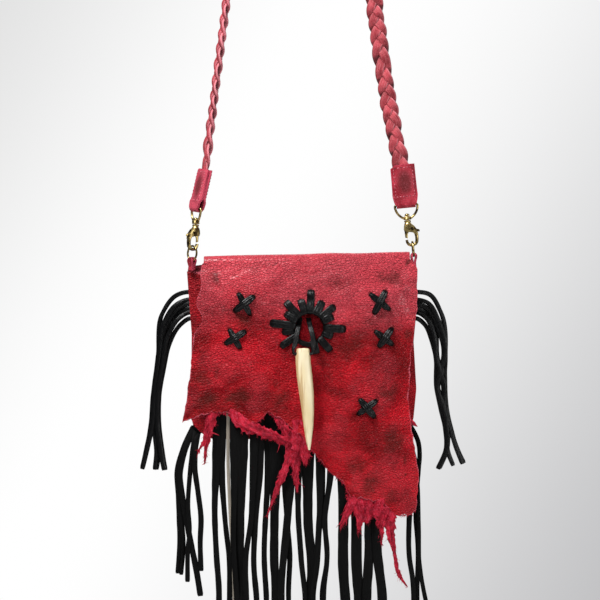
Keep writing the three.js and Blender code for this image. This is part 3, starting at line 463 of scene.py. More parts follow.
def wall(grid, thickness, kept=None, **values):
    """Leather wall on a grid of its middle surface.

    The outer skin lies half the thickness against the grid's normal, which is the slope across times the
    slope down, and the inner skin half of it along the normal. Each kept cell gives a quad on both skins, and
    each edge between a kept cell and a missing one a quad of the rim.
    """
    rows, columns = grid.shape[:2]
    normal = unit(np.cross(np.gradient(grid, axis=1), np.gradient(grid, axis=0)))
    step = normal * np.broadcast_to(thickness, (rows, columns))[..., None] / 2
    kept = np.ones((rows - 1, columns - 1), bool) if kept is None else kept
    index = np.arange(rows * columns).reshape(rows, columns)
    corners = [index[:-1, :-1], index[:-1, 1:], index[1:, 1:], index[1:, :-1]]
    around = np.pad(kept, 1)
    beside = [around[:-2, 1:-1], around[1:-1, 2:], around[2:, 1:-1], around[1:-1, :-2]]
    outer = np.stack(corners, axis=-1)[kept]
    faces = [outer, outer[:, ::-1] + index.size]
    for corner in range(4):
        rim = kept & ~beside[corner]
        start, end = corners[corner][rim], corners[(corner + 1) % 4][rim]
        faces.append(np.stack([end, start, start + index.size, end + index.size], axis=-1))
    spread = {name: np.tile(np.broadcast_to(value, index.shape).ravel(), 2) for name, value in values.items()}
    points = np.concatenate([(grid - step).reshape(-1, 3), (grid + step).reshape(-1, 3)])
    return Shape(points, np.concatenate(faces), skin=np.repeat([0, 1], index.size), **spread)


def make_piece(name, shapes, finish, body="bag", nodes=(), drop=FOLD_DROP, sharp=40):
    """One mesh from several shapes, in metres, with its finish and slot, its body and the nodes it replaces.

    Points that have no value of a name that another shape has get 0. Edges over sharp degrees stay hard.
    """
    starts = np.cumsum([0] + [len(shape.points) for shape in shapes])
    points = (np.concatenate([shape.points for shape in shapes]) - (0, 0, drop)) * MM
    faces = np.concatenate([shape.faces + start for shape, start in zip(shapes, starts)])
    mesh = bpy.data.meshes.new(name)
    mesh.vertices.add(len(points))
    mesh.vertices.foreach_set("co", points.ravel())
    mesh.loops.add(faces.size)
    mesh.loops.foreach_set("vertex_index", faces.ravel())
    mesh.polygons.add(len(faces))
    mesh.polygons.foreach_set("loop_start", np.arange(0, faces.size, 4))
    mesh.polygons.foreach_set("use_smooth", np.ones(len(faces), bool))
    mesh.update(calc_edges=True)
    mesh.validate()
    mesh.set_sharp_from_angle(angle=math.radians(sharp))
    for value in sorted({key for shape in shapes for key in shape.values}):
        column = [shape.values.get(value, np.zeros(len(shape.points))) for shape in shapes]
        mesh.attributes.new(value, "FLOAT", "POINT").data.foreach_set("value", np.concatenate(column))
    mesh.materials.append(finish)
    piece = bpy.data.objects.new(name, mesh)
    bpy.context.scene.collection.objects.link(piece)
    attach(piece, body)
    if nodes:
        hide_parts(*nodes)


# Finishes

def tint(red, green, blue):
    """Linear colour from the 0 to 255 values seen on a screen."""
    seen = np.array((red, green, blue)) / 255
    linear = np.where(seen <= 0.04045, seen / 12.92, ((seen + 0.055) / 1.055) ** 2.4)
    return (*linear.tolist(), 1.0)


class Value:
    """A shader socket whose arithmetic adds Math nodes."""

    def __init__(self, paint, socket):
        self.paint = paint
        self.socket = socket

    def __add__(self, other):
        return self.paint.maths("ADD", self, other)

    def __sub__(self, other):
        return self.paint.maths("SUBTRACT", self, other)

    def __rsub__(self, other):
        return self.paint.maths("SUBTRACT", other, self)

    def __mul__(self, other):
        return self.paint.maths("MULTIPLY", self, other)

    __radd__ = __add__
    __rmul__ = __mul__


class Paint:
    """One material's nodes. node() adds a node of any type and returns one of its outputs."""

    def __init__(self, owner):
        self.owner = owner if isinstance(owner, bpy.types.World) else bpy.data.materials.new(owner)
        self.owner.use_nodes = True
        self.tree = self.owner.node_tree
        kind = "Background" if isinstance(owner, bpy.types.World) else "Principled BSDF"
        self.shader = self.tree.nodes[kind]
        self.place = self.node("ShaderNodeTexCoord", {}, {}, "Object")

    @staticmethod
    def find(sockets, key):
        """A socket by its number, or the first with that identifier or name."""
        if isinstance(key, int):
            return sockets[key]
        return next(socket for socket in sockets if key in (socket.identifier, socket.name))

    def feed(self, socket, value):
        """Links a value to a socket, or sets a constant on it."""
        if isinstance(value, Value):
            self.tree.links.new(value.socket, socket)
        else:
            socket.default_value = value

    def node(self, kind, settings, sockets, output=0):
        """Adds a node: its settings first, then the values or links of its sockets."""
        made = self.tree.nodes.new(kind)
        for key, setting in settings.items():
            setattr(made, key, setting)
        for key, value in sockets.items():
            self.feed(self.find(made.inputs, key), value)
        return Value(self, self.find(made.outputs, output))

    def maths(self, operation, first, second):
        """One Math node on two values."""
        return self.node("ShaderNodeMath", {"operation": operation}, {0: first, 1: second})

    def value(self, name):
        """The piece's own value of that name."""
        return self.node("ShaderNodeAttribute", {"attribute_name": name}, {}, "Fac")

    def stretched(self, x, y, z):
        """Object coordinates scaled along each axis."""
        return self.node("ShaderNodeMapping", {}, {"Vector": self.place, "Scale": (x, y, z)})

    def warped(self, scale, reach):
        """Object coordinates pushed about by noise, up to half the reach, in metres, each way."""
        sockets = {"Vector": self.place, "Scale": scale, "Detail": 2.0}
        push = self.node("ShaderNodeTexNoise", {}, sockets, "Color")
        sockets = {0: push, 1: (reach, reach, reach), 2: self.place}
        return self.node("ShaderNodeVectorMath", {"operation": "MULTIPLY_ADD"}, sockets)

    def lines(self, along, across):
        """Coordinates that follow a strip: its own along and across values, scaled."""
        return self.node("ShaderNodeCombineXYZ", {}, {
            "X": self.value("along") * along, "Y": self.value("across") * across})

    def noise(self, scale, detail=3, where=None, roughness=0.55):
        """Fractal noise from 0 to 1, with about scale humps to the metre on Object coordinates."""
        sockets = {"Vector": where or self.place, "Scale": scale, "Detail": detail, "Roughness": roughness}
        return self.node("ShaderNodeTexNoise", {}, sockets, "Fac")

    def cells(self, scale, where=None, feature="F1"):
        """Distance to the nearest point of a scatter with about scale points to the metre."""
        sockets = {"Vector": where or self.place, "Scale": scale}
        return self.node("ShaderNodeTexVoronoi", {"feature": feature}, sockets, "Distance")

    def step(self, value, low, high):
        """Eased step from 0 at low to 1 at high."""
        sockets = {"Value": value, "From Min": low, "From Max": high}
        return self.node("ShaderNodeMapRange", {"interpolation_type": "SMOOTHSTEP"}, sockets)

    def mix(self, factor, first, second):
        """Colour from first to second by the factor."""
        sockets = {"Factor_Float": factor, "A_Color": first, "B_Color": second}
        return self.node("ShaderNodeMix", {"data_type": "RGBA"}, sockets, "Result_Color")

    def bump(self, height, strength, distance):
        """Normal bent by a height, whose whole step is distance metres."""
        sockets = {"Height": height, "Strength": strength, "Distance": distance}
        return self.node("ShaderNodeBump", {}, sockets)

    def finish(self, sockets):
        """Feeds the shader and returns the material."""
        for key, value in sockets.items():
            self.feed(self.shader.inputs[key], value)
        return self.owner


def red_leather():
    """Pebbled red leather: cloudy reds, pinker and paler where a sheen is painted, dark where worn and where
    shade is painted, pink raw edges, brown flesh side.

    The grain is domed pebbles, wider than tall and parted by grooves, on coordinates that noise bends, with
    finer pebbles on them, faint growth lines across, and shallow creases where a stretched noise crosses its
    middle value. The grooves, the low bands of the growth lines and the creases are also darkened in colour,
    as painted shade in the grain's recesses. A coat over the sheen-painted leather towards the fold gives the
    soft sheen.
    """
    paint = Paint("red_leather")
    cloud = paint.noise(24, 2)
    mottle = paint.noise(85, 3)
    fine = paint.noise(900, 3)
    grain = paint.node("ShaderNodeMapping", {}, {"Vector": paint.warped(60, 0.006), "Scale": (0.78, 1, 1.2)})
    pebbles = paint.cells(430, grain)
    grooves = paint.step(paint.cells(430, grain, "DISTANCE_TO_EDGE"), 0.0, 0.22)
    grit = paint.cells(1100, grain)
    growth = paint.node("ShaderNodeTexWave", {"wave_type": "BANDS", "bands_direction": "Z"}, {
        "Vector": paint.warped(9, 0.12), "Scale": 125, "Distortion": 10, "Detail": 3, "Detail Scale": 0.9,
        "Detail Roughness": 0.6}, "Fac")
    crease = paint.step(paint.node("ShaderNodeMath", {"operation": "ABSOLUTE"}, {
        0: paint.noise(75, 3, paint.stretched(0.55, 1, 1.7)) - 0.5}), 0.0, 0.05)
    edge, worn, skin, fresh = (paint.value(name) for name in ("edge", "worn", "skin", "fresh"))
    dark = tint(84, 4, 10)
    reds = paint.mix(paint.step(cloud * 0.7 + mottle * 0.3, 0.37, 0.63), tint(120, 4, 11), tint(188, 16, 31))
    # Painted sheen: paler and pinker towards the fold and on the flap's swells, where the light falls; over
    # the back, paler by rubbing
    reds = paint.mix(fresh * 0.7, reds, tint(219, 79, 93))
    # Painted shade in the grain's recesses: darker in the grooves between pebbles, the low bands of the
    # growth lines and the creases
    reds = paint.mix((1 - grooves) * 0.27, reds, dark)
    reds = paint.mix((1 - paint.step(growth, 0.1, 0.6)) * 0.13, reds, dark)
    reds = paint.mix((1 - crease) * 0.14, reds, dark)
    # Dark where worn, and painted shade in the flap's hollows, round its slits and in the fold's two ends
    wear_and_shade_mask = paint.step(worn * (0.6 + mottle * 0.8), 0.1, 0.95)
    reds = paint.mix(wear_and_shade_mask * 0.74, reds, tint(64, 20, 13))
    raw = 1 - paint.step(edge + (fine - 0.5) * 1.8 + (mottle - 0.42) * 2.4, 0.1, 0.9)
    reds = paint.mix(raw * 0.85, reds, tint(200, 92, 106))
    reds = paint.mix(skin * 0.8, reds, tint(112, 24, 34))
    grained = (1 - pebbles) * 0.55 + grooves * 0.5 + (1 - grit) * 0.12
    height = grained * (0.75 + fresh * 0.25) + crease * 0.3 + growth * 0.28
    return paint.finish({
        "Base Color": reds,
        "Roughness": 0.4 - fresh * 0.12 + fine * 0.1 + raw * 0.3 + skin * 0.3,
        "Normal": paint.bump(height, 0.9, 0.0012),
        "Specular IOR Level": 0.11,
        "Coat Weight": paint.step(fresh, 0.14, 0.6) * 0.62 * grooves * (0.8 - raw * 0.7),
        "Coat Roughness": 0.33,
    })


def torn_leather():
    """Fibrous flesh side of the torn strips: pink fibres over crimson, painted shade where the folds sink in,
    dull.
    """
    paint = Paint("torn_leather")
    clumps = paint.noise(240, 4)
    fibres = paint.noise(1.0, 5, paint.lines(0.22, 7.0))
    specks = paint.noise(1500, 2)
    swell = paint.value("swell")
    reds = paint.mix(paint.step(clumps, 0.36, 0.64), tint(146, 12, 32), tint(198, 34, 56))
    reds = paint.mix(paint.step(fibres * 0.55 + specks * 0.45, 0.47, 0.66) * 0.85, reds, tint(210, 78, 102))
    # Painted shade where the strip's folds sink in
    reds = paint.mix((1 - paint.step(swell, 0.6, 1.0)) * 0.55, reds, tint(66, 4, 16))
    height = fibres * 0.6 + specks * 0.6 + clumps * 0.6
    return paint.finish({
        "Base Color": reds,
        "Roughness": 0.8 + specks * 0.2,
        "Normal": paint.bump(height, 0.9, 0.0011),
        "Specular IOR Level": 0.12,
    })


def braid_leather():
    """Leather of the strap's strands: dusty reds with a fine grain and streaks along each strand.

    A strand is browner towards one edge, paler towards the other and painted with shade where it passes
    under.
    """
    paint = Paint("braid_leather")
    cloud = paint.noise(90, 3)
    fine = paint.noise(800, 3)
    lines = paint.noise(1.0, 3, paint.lines(0.07, 8.0))
    across = paint.value("across")
    dusty = tint(208, 118, 124)
    reds = paint.mix(paint.step(cloud, 0.35, 0.68), tint(132, 38, 46), tint(184, 68, 78))
    reds = paint.mix(paint.step(lines, 0.48, 0.68) * 0.55, reds, dusty)
    reds = paint.mix(paint.step(fine, 0.5, 0.75) * 0.3, reds, dusty)
    reds = paint.mix(paint.step(across, 0.65, 0.95) * 0.4, reds, tint(92, 54, 52))
    reds = paint.mix(paint.step(0 - across, 0.6, 0.95) * 0.45, reds, tint(226, 150, 160))
    # Painted shade where the strand passes under its neighbour
    shade = paint.step(paint.value("deep") + (paint.noise(60, 2) - 0.5) * 3.0, 0.0, 0.9)
    reds = paint.mix(shade * 0.78, reds, tint(56, 22, 24))
    return paint.finish({
        "Base Color": reds,
        "Roughness": 0.42 + fine * 0.2,
        "Normal": paint.bump(fine * 0.7 + lines * 0.8 + paint.cells(900) * 0.5, 0.6, 0.0005),
        "Specular IOR Level": 0.2,
    })


def tab_leather():
    """Leather of the tabs and ring loops: red, browned over the middle by wear, with pale raw edges."""
    paint = Paint("tab_leather")
    cloud = paint.noise(85, 4)
    fine = paint.noise(800, 3)
    edge, worn, skin = paint.value("edge"), paint.value("worn"), paint.value("skin")
    reds = paint.mix(paint.step(cloud, 0.38, 0.66), tint(136, 24, 38), tint(180, 52, 68))
    reds = paint.mix(paint.value("pale") * 0.5, reds, tint(206, 88, 108))
    reds = paint.mix(paint.step(worn * (0.7 + cloud * 0.6), 0.05, 1.0) * 0.8, reds, tint(78, 26, 26))
    reds = paint.mix(paint.step(fine, 0.5, 0.8) * 0.3, reds, tint(216, 112, 126))
    raw = 1 - paint.step(edge + (fine - 0.5) * 1.2, 0.1, 0.8)
    reds = paint.mix(raw * 0.9, reds, tint(184, 62, 84))
    return paint.finish({
        "Base Color": reds,
        "Roughness": 0.42 + fine * 0.2 + skin * 0.2,
        "Normal": paint.bump(fine + paint.cells(850) * 0.6, 0.5, 0.0005),
        "Specular IOR Level": 0.2,
    })


def black_lace():
    """Black lacing leather: near black with a soft sheen, lengthwise creases and a fine grain."""
    paint = Paint("black_lace")
    streaks = paint.noise(1.0, 4, paint.lines(0.09, 4.2))
    fine = paint.noise(900, 3)
    blacks = paint.mix(paint.step(streaks * 0.7 + fine * 0.3, 0.4, 0.72), tint(2, 2, 3), tint(11, 12, 13))
    return paint.finish({
        "Base Color": blacks,
        "Roughness": 0.27 + fine * 0.14,
        "Normal": paint.bump(streaks * 0.9 + fine * 0.3, 0.6, 0.0007),
        "Specular IOR Level": 0.22,
    })


def black_fringe():
    """Black leather of the fringe: a duller black with long faint streaks, and a pale flesh side."""
    paint = Paint("black_fringe")
    streaks = paint.noise(1.0, 4, paint.lines(0.04, 3.2))
    fine = paint.noise(800, 3)
    blacks = paint.mix(paint.step(streaks * 0.75 + fine * 0.25, 0.42, 0.75), tint(2, 2, 2), tint(8, 8, 9))
    blacks = paint.mix(paint.value("flesh") * (0.7 + fine * 0.3), blacks, tint(176, 166, 152))
    return paint.finish({
        "Base Color": blacks,
        "Roughness": 0.55 + fine * 0.22,
        "Normal": paint.bump(streaks * 0.6 + fine * 0.5, 0.5, 0.0005),
        "Specular IOR Level": 0.11,
    })


def antique_brass():
    """Aged brass: warm yellow metal, browned in patches and dulled by fine scratches."""
    paint = Paint("antique_brass")
    patina = paint.noise(210, 3)
    scratches = paint.noise(1500, 2, paint.stretched(1, 1, 0.25))
    yellows = paint.mix(paint.step(patina, 0.34, 0.62), tint(72, 56, 33), tint(192, 170, 112))
    dark = paint.value("dark")
    # The dark value is the gate rivet's own dark steel, and painted shade along the claw plates' narrow sides
    yellows = paint.mix(dark * 0.92, yellows, tint(34, 24, 16))
    return paint.finish({
        "Base Color": yellows,
        "Metallic": 1.0,
        "Roughness": 0.2 + patina * 0.14 + scratches * 0.1 + dark * 0.4,
        "Normal": paint.bump(scratches, 0.15, 0.0001),
    })


def bone():
    """Ivory: cream with tan streaks down its length, more of them on the left, under a soft gloss."""
    paint = Paint("bone")
    streaks = paint.noise(420, 4, paint.stretched(1, 1, 0.06))
    broad = paint.noise(60, 3, paint.stretched(1, 1, 0.25))
    pits = paint.noise(1500, 2)
    side = paint.value("across")
    cream = paint.mix(paint.step(broad, 0.35, 0.65), tint(229, 210, 164), tint(244, 231, 197))
    tan = paint.step(streaks + broad * 0.25 - side * 0.27, 0.62, 0.9)
    cream = paint.mix(tan * 0.72, cream, tint(184, 138, 80))
    cream = paint.mix(paint.step(side, 0.72, 1.0) * 0.5, cream, tint(150, 118, 76))
    return paint.finish({
        "Base Color": cream,
        "Roughness": 0.36 + pits * 0.14,
        "Normal": paint.bump(streaks * 0.8 + pits * 0.3, 0.3, 0.0003),
        "Coat Weight": 0.15,
        "Coat Roughness": 0.2,
    })


def thread():
    """Dark red sewing thread, twisted."""
    paint = Paint("thread")
    strands = paint.noise(420, 2)
    reds = paint.mix(paint.step(strands, 0.4, 0.6), tint(74, 12, 22), tint(208, 112, 126))
    return paint.finish({"Base Color": reds, "Roughness": 0.75, "Normal": paint.bump(strands, 0.5, 0.0002)})


# The hide: back panel, fold and torn flap

def pouch_sides(z):
    """The pouch's left and right outline at a height."""
    return from_table(POUCH_LEFT, z), from_table(POUCH_RIGHT, z)


def flap_sides(z):
    """The flap's left and right outline at a height, averaged over 3 each way."""
    return from_table(FLAP_LEFT, z, 3), from_table(FLAP_RIGHT, z, 3)


def torn_edge(share):
    """Height of the flap's torn edge at a share of its width, softened a little."""
    return from_table(TORN_EDGE, share, 0.006)


def from_places(x, z, places):
    """Distance of each point from each place of a list, along a new last axis."""
    return np.hypot(x[..., None] - places[:, 0], z[..., None] - places[:, 1])


def flap_relief(x, z):
    """How far wrinkles stand forward of the flap's even curve.

    Four sizes of lattice noise, held within FLAP_RELIEF either way, and soft ridges that radiate from the
    hole between the wraps, less a round dip at each lace end. All fade out towards the fold.
    """
    waves = 2.0 * lattice_noise(x, z, 34, 3) + 2.2 * lattice_noise(x - 0.3 * z, z, 19, 6)
    waves += 1.1 * lattice_noise(x + 0.4 * z, z, 10, 4) + 0.36 * lattice_noise(x - 0.5 * z, 1.5 * z, 5, 5)
    waves = FLAP_RELIEF * np.tanh(waves / FLAP_RELIEF) + 0.4
    radius = np.hypot(x - HOLE_X, z - HOLE_Z)
    turn = np.arctan2(z - HOLE_Z, x - HOLE_X)
    waves += 0.4 * np.cos(len(WRAP_TIPS) * turn) * np.exp(-((radius - 24) / 7) ** 2)
    dips = np.exp(-(from_places(x, z, LACE_ENDS) / SLIT_RADIUS) ** 2).sum(axis=-1)
    return (waves - 0.9 * np.minimum(dips, 1.2)) * smoothstep(-z, 3, 24)


def flap_mid(x, z):
    """Y of the flap's middle surface: a crown across that leans back towards the fold.

    Lower down it hangs back a little, with slow ripples across.
    """
    crown = 1 - (x / 110) ** 2
    ripple = 0.7 * np.sin(x / 13) * smoothstep(-z, 90, 160)
    lean = 5.5 * smoothstep(z, -55, 0) ** 2
    return -(3 + 8.5 * crown) + lean + 1.4 * smoothstep(-z, 150, 235) + ripple


def on_flap(x, z, forward):
    """Points that far in front of the flap's middle surface, wrinkles included."""
    return points_at(x, flap_mid(x, z) - flap_relief(x, z) - forward, z)


def hide_shape(columns=176, back_rows=22, fold_rows=14, flap_rows=176):
    """The hide as one wall whose rows run up the back, round the fold and down the flap.

    A point's x is its column's share of the way from the left outline to the right one. On the flap its
    height is its row's share of the way from the fold to the torn edge. Points beside the hole slide out to
    its circle, and the cells inside are left out. Towards the fold the leather is painted paler and pinker as
    a painted sheen, and is glossier. It is rubbed paler over the back, and painted paler on the flap's swells
    as a painted highlight.
    """
    share = np.linspace(0, 1, columns)
    back_z = np.concatenate([np.linspace(POUCH_BOTTOM, -20, back_rows), [-16, -12, -9.5, -FOLD_HEIGHT]])
    back_z = back_z[:, None]
    back = points_at(between(*pouch_sides(back_z), share), BACK_MID_Y, back_z)

    angle = np.linspace(0, np.pi, fold_rows + 2)[1:-1, None]
    fold_x = between(FLAP_LEFT[-1][1], FLAP_RIGHT[-1][1], share)
    front = flap_mid(fold_x, -FOLD_HEIGHT)
    fold_y = (BACK_MID_Y + front) / 2 + (BACK_MID_Y - front) / 2 * np.cos(angle)
    sag = 0.5 * line_noise(fold_x, 27, 8)
    fold_z = -FOLD_HEIGHT + (FOLD_HEIGHT - WALL / 2 + sag) * np.sin(angle)
    fold = points_at(fold_x, fold_y, fold_z)

    fray = 1.1 * line_noise(share * HIDE_WIDTH, 3.1, 11) + 0.8 * line_noise(share * HIDE_WIDTH, 1.4, 12)
    end = torn_edge(share) + fray
    z = between(-FOLD_HEIGHT, end, np.linspace(0, 1, flap_rows)[:, None])
    left, right = flap_sides(z)
    left = left + 0.7 * line_noise(z, 6, 13) + 0.35 * line_noise(z, 2.2, 14)
    right = right + 0.7 * line_noise(z, 5, 15)
    x = between(left, right, share)
    radius = np.maximum(np.hypot(x - HOLE_X, z - HOLE_Z), 0.01)
    inside = radius < HOLE_RADIUS - 1.5
    beside = (radius > HOLE_RADIUS - 1.5) & (radius < HOLE_RADIUS + 0.45)
    pull = np.where(beside, HOLE_RADIUS / radius, 1)
    x, z = HOLE_X + (x - HOLE_X) * pull, HOLE_Z + (z - HOLE_Z) * pull
    # The raw right edge is twice as broad between about 100 and 170 down
    cut = (right - x) * (1 - 0.5 * smoothstep(-z, 95, 105) * smoothstep(z, -175, -165))
    edge = np.minimum(np.minimum(x - left, cut), z - end)
    curl = np.exp(-edge / 6) * (0.9 + 1.4 * lattice_noise(x, z, 19, 16))
    relief = flap_relief(x, z)
    flap = points_at(x, flap_mid(x, z) - relief - curl * smoothstep(-z, 20, 60), z)

    grid = np.concatenate([back, fold, flap])
    grid_x, grid_z = grid[..., 0], grid[..., 2]
    grid_z += (FOLD_TILT * grid_x - 0.5) * smoothstep(grid_z, -40, -5)
    lead = len(back) + fold_rows
    kept = np.ones((len(grid) - 1, columns - 1), bool)
    kept[lead:] = ~(inside[:-1, :-1] | inside[1:, :-1] | inside[:-1, 1:] | inside[1:, 1:])
    side = np.minimum(share, 1 - share) * HIDE_WIDTH + 0.8
    edge = np.maximum(np.concatenate([np.broadcast_to(side, (lead, columns)), edge]), 0)
    rubbed = 0.5 * np.maximum(lattice_noise(grid_x[:lead], grid_z[:lead], 22, 17), 0)
    # Wear over the back; on the flap, wear together with painted shade
    worn = np.concatenate([rubbed, wear_and_shade_places(x, z)])
    cloudy = 26 * lattice_noise(grid_x, grid_z, 48, 25) + 8 * lattice_noise(grid_x, grid_z, 17, 26)
    # Painted sheen towards the fold and painted highlight on the flap's swells; the back is rubbed paler by
    # wear
    fresh = smoothstep(grid_z + cloudy * smoothstep(-grid_z, 6, 30), -92, -6)
    fresh[:len(back)] += 0.34 * (1 - fresh[:len(back)])
    fresh[lead:] += 0.2 * (1 - fresh[lead:]) * smoothstep(relief, 0.3, 2.4)
    return wall(grid, WALL - 0.7 * np.exp(-edge / 2), kept, edge=edge, worn=worn, fresh=fresh)


def wear_and_shade_places(x, z):
    """Wear and painted shade on the flap: the strongest of its dark places, painted shade in hollows, and a
    ring of painted shade at each slit.

    Each place falls off as a bell of the distance, measured on coordinates that noise pushes about.
    """
    pushed_x = x + 5 * lattice_noise(x, z, 9, 18) + 3 * lattice_noise(x, z, 4, 19)
    pushed_z = z + 4 * lattice_noise(x, z, 8, 20) + 2 * lattice_noise(x, z, 3.5, 24)
    place = np.array(DARK_PLACES)
    away = from_places(pushed_x, pushed_z, place) / place[:, 2]
    wear = (place[:, 3] * np.exp(-away ** 2 / 1.3)).max(axis=-1)
    # Painted shade where the wrinkles dip back
    hollows = 0.32 * smoothstep(-flap_relief(x, z), 0.0, 1.8)
    # Painted shade round each slit where a lace goes in
    slits = from_places(x, z, LACE_ENDS).min(axis=-1)
    return np.maximum(wear + hollows, 0.9 * np.exp(-(slits / SLIT_RADIUS) ** 2))


def torn_strip(route, root, tip, turn, seed, rows=120, sides=26):
    """Ragged roll of torn leather.

    Its section is an oval whose width runs from root to tip and whose depth is a third of that. Noise over
    the place along and around gives it long folds and a nicked rim, and it rolls about its line by a sine of
    the place along. Its line is the route on the flap's surface, set behind it at the root.
    """
    x, z = np.array(route, float).T
    line = smooth_route(points_at(x, flap_mid(x, z), z), rows)
    along = np.linspace(0, 1, rows)[:, None]
    line[:, 1:2] += 1.6 * (1 - smoothstep(along, 0.02, 0.3))
    angle = ring_angles(sides)
    travelled = distances(line)[-1] * along
    near, far = 5 * np.cos(angle) + 0 * along, 5 * np.sin(angle) + 40 + 0 * along
    folds = 0.42 * lattice_noise(travelled / 3 + far, near, 2.3, seed)
    nicks = 0.3 * np.cos(angle) ** 2 * lattice_noise(travelled + near, near, 1.7, seed + 1)
    slow = 0.2 * line_noise(travelled, 8, seed + 2)
    swell = np.clip(1 + folds + nicks + slow, 0.4, 1.6)
    half = between(root, tip, along) / 2 * swell * np.sqrt(1 - 0.9 * along ** 6)
    roll = np.radians(turn) * np.sin(along * np.pi * 1.6 + seed) * smoothstep(along, 0.05, 0.5)
    side = sides_facing(line, FRONT)
    out = unit(np.cross(side, np.gradient(line, axis=0)))
    grid = carried(line, side, out, half * np.cos(angle), 0.34 * half * np.sin(angle), roll)
    across = np.cos(angle) + 0 * along
    return Shape(grid, tube_faces(rows, sides), along=travelled + 0 * angle, across=across, swell=1 + folds)


def fray_shape(strips, count, longest, thickest, seed, rows=5, sides=4):
    """Loose fibres on the torn edge and the strips, up to that long and that thick at their root.

    A third start at random places along the edge, the others at random points of the strips. Each runs mostly
    downwards, bends with the square of the place along it and tapers to its tip. None reaches further forward
    than FIBRES_FRONT.
    """
    draw = np.random.default_rng(seed)
    share = draw.uniform(0.02, 1, count // 3)
    z = torn_edge(share) + draw.uniform(-0.5, 1.2, len(share))
    on_edge = on_flap(between(*flap_sides(z), share), z, draw.uniform(-0.5, 1.0, len(share)))
    matter = np.concatenate([strip.points for strip in strips])
    root = np.concatenate([on_edge, matter[draw.integers(0, len(matter), count - len(share))]])
    heading = unit(draw.normal(0, 0.34, (count, 3)) + (0, -0.25, -0.7))
    length = longest * draw.uniform(0.2, 1, count)
    length[:len(share)] *= 0.6
    length = length[:, None, None]
    bend = draw.normal(0, 0.3, (count, 1, 3)) * length
    at = np.linspace(0, 1, rows)[None, :, None]
    path = root[:, None] + heading[:, None] * length * at + bend * at ** 2
    path[..., 1] = np.maximum(path[..., 1], FIBRES_FRONT)
    side = unit(np.cross(heading, FRONT))[:, None, None]
    out = np.cross(side, heading[:, None, None])
    angle = ring_angles(sides, 0)
    radius = (thickest / 2 * draw.uniform(0.4, 1, count)[:, None, None] * (1 - 0.85 * at))[..., None]
    ring = np.cos(angle)[:, None] * side + np.sin(angle)[:, None] * out
    along = np.broadcast_to(10 * at, (count, rows, sides))
    across = np.tile(np.cos(angle), count * rows)
    return Shape(path[:, :, None] + radius * ring, repeated_tubes(count, rows, sides),
                 along=along, across=across, swell=1.2 + 0 * along)


# The pouch's front

def pouch_mid(x, z):
    """Y of the pouch's front: a bulge that is flat at the sides and the bottom and gapes at the top."""
    left, right = pouch_sides(z)
    across = np.clip(2 * (x - left) / (right - left) - 1, -1, 1)
    down = (z - POUCH_TOP) / (POUCH_BOTTOM - POUCH_TOP)
    mouth = 0.75 + 0.25 * smoothstep(down, 0, 0.4)
    foot = 1 - np.maximum(0, 2 * down - 1) ** 4
    return POUCH_SEAM_Y - POUCH_BULGE * (1 - np.abs(across) ** 4) * mouth * foot


def pouch_shape(rows=70, columns=110):
    """The pouch's front as a wall, columns closer together towards the side seams, with small dents."""
    z = np.linspace(POUCH_TOP, POUCH_BOTTOM, rows)[:, None]
    left, right = pouch_sides(z)
    x = between(left, right, 0.5 - 0.5 * np.cos(np.linspace(0, np.pi, columns)))
    height = z + 0.6 * line_noise(x, 14, 21) * smoothstep(z, -40, POUCH_TOP)
    inset = np.minimum(x - left, right - x)
    dents = 0.5 * lattice_noise(x, z, 21, 22) * smoothstep(inset, 2, 16)
    dents = dents * smoothstep(z - POUCH_BOTTOM, 2, 20)
    edge = np.minimum(inset + 0.5, 0.3 * (POUCH_TOP - z))
    worn = 0.55 * np.maximum(lattice_noise(x, z, 18, 23), 0)
    return wall(points_at(x, pouch_mid(x, z) - dents, height), WALL, edge=edge, worn=worn, fresh=0.1)


# Laces, pendant and tooth

def lace(start, end, over, rows=30):
    """One arm of a cross: straight between its ends, dipping into the leather at both, humped if it is over.

    It rises from each end on a quarter circle, and the hump is a bell about its middle.
    """
    share = np.linspace(0, 1, rows)
    x, z = (between(first, last, share) for first, last in zip(start, end))
    inwards = np.minimum(share, 1 - share) * math.dist(start, end)
    forward = -1.6 + 3.3 * np.sqrt(1 - (1 - np.clip(inwards / 2.2, 0, 1)) ** 2)
    forward += over * 1.7 * np.exp(-((share - 0.5) / 0.17) ** 2)
    side = unit(np.array((start[1] - end[1], 0, end[0] - start[0]), float))
    widths = (LACE_WIDTH + 0.7 * over) * (0.7 + 0.3 * smoothstep(inwards, 0, 6))
    return sweep(on_flap(x, z, forward), side, widths, LACE_THICKNESS, LACE_SIDES, 0.86, groove=LACE_GROOVE)


def wrap(tip, number):
    """One wrap of lace: from its slit at the tip along the flap to the hole, round its edge and back behind.

    Its line goes smoothly through the stops, each a radius from the hole's middle and a distance in front of
    the flap. Its width differs a little with its number and narrows at the slit.
    """
    away = np.array(tip, float) - (HOLE_X, HOLE_Z)
    reach = math.hypot(*away)
    heading = away / reach
    rim = HOLE_RADIUS
    stops = [
        (reach + 0.8, -1.3), (reach + 0.6, 0.6), (reach - 0.6, 1.8), ((reach + rim) / 2, 2), (rim + 1, 1.95),
        (rim - 0.9, 1.5), (rim - 1.8, 0.2), (rim - 1.6, -1), (rim - 0.3, -1.85), (rim + 3, -1.95),
        (rim + 7, -1.9),
    ]
    radius, forward = smooth_route(stops, 44).T
    line = on_flap(HOLE_X + heading[0] * radius, HOLE_Z + heading[1] * radius, forward)
    side = np.array((-heading[1], 0, heading[0]))
    widths = WRAP_WIDTH + 0.4 * np.sin(number * 2.1) - 0.6 * smoothstep(radius, reach - 2.5, reach + 1)
    return sweep(line, side, widths, 2.2, LACE_SIDES, 0.78, groove=LACE_GROOVE)


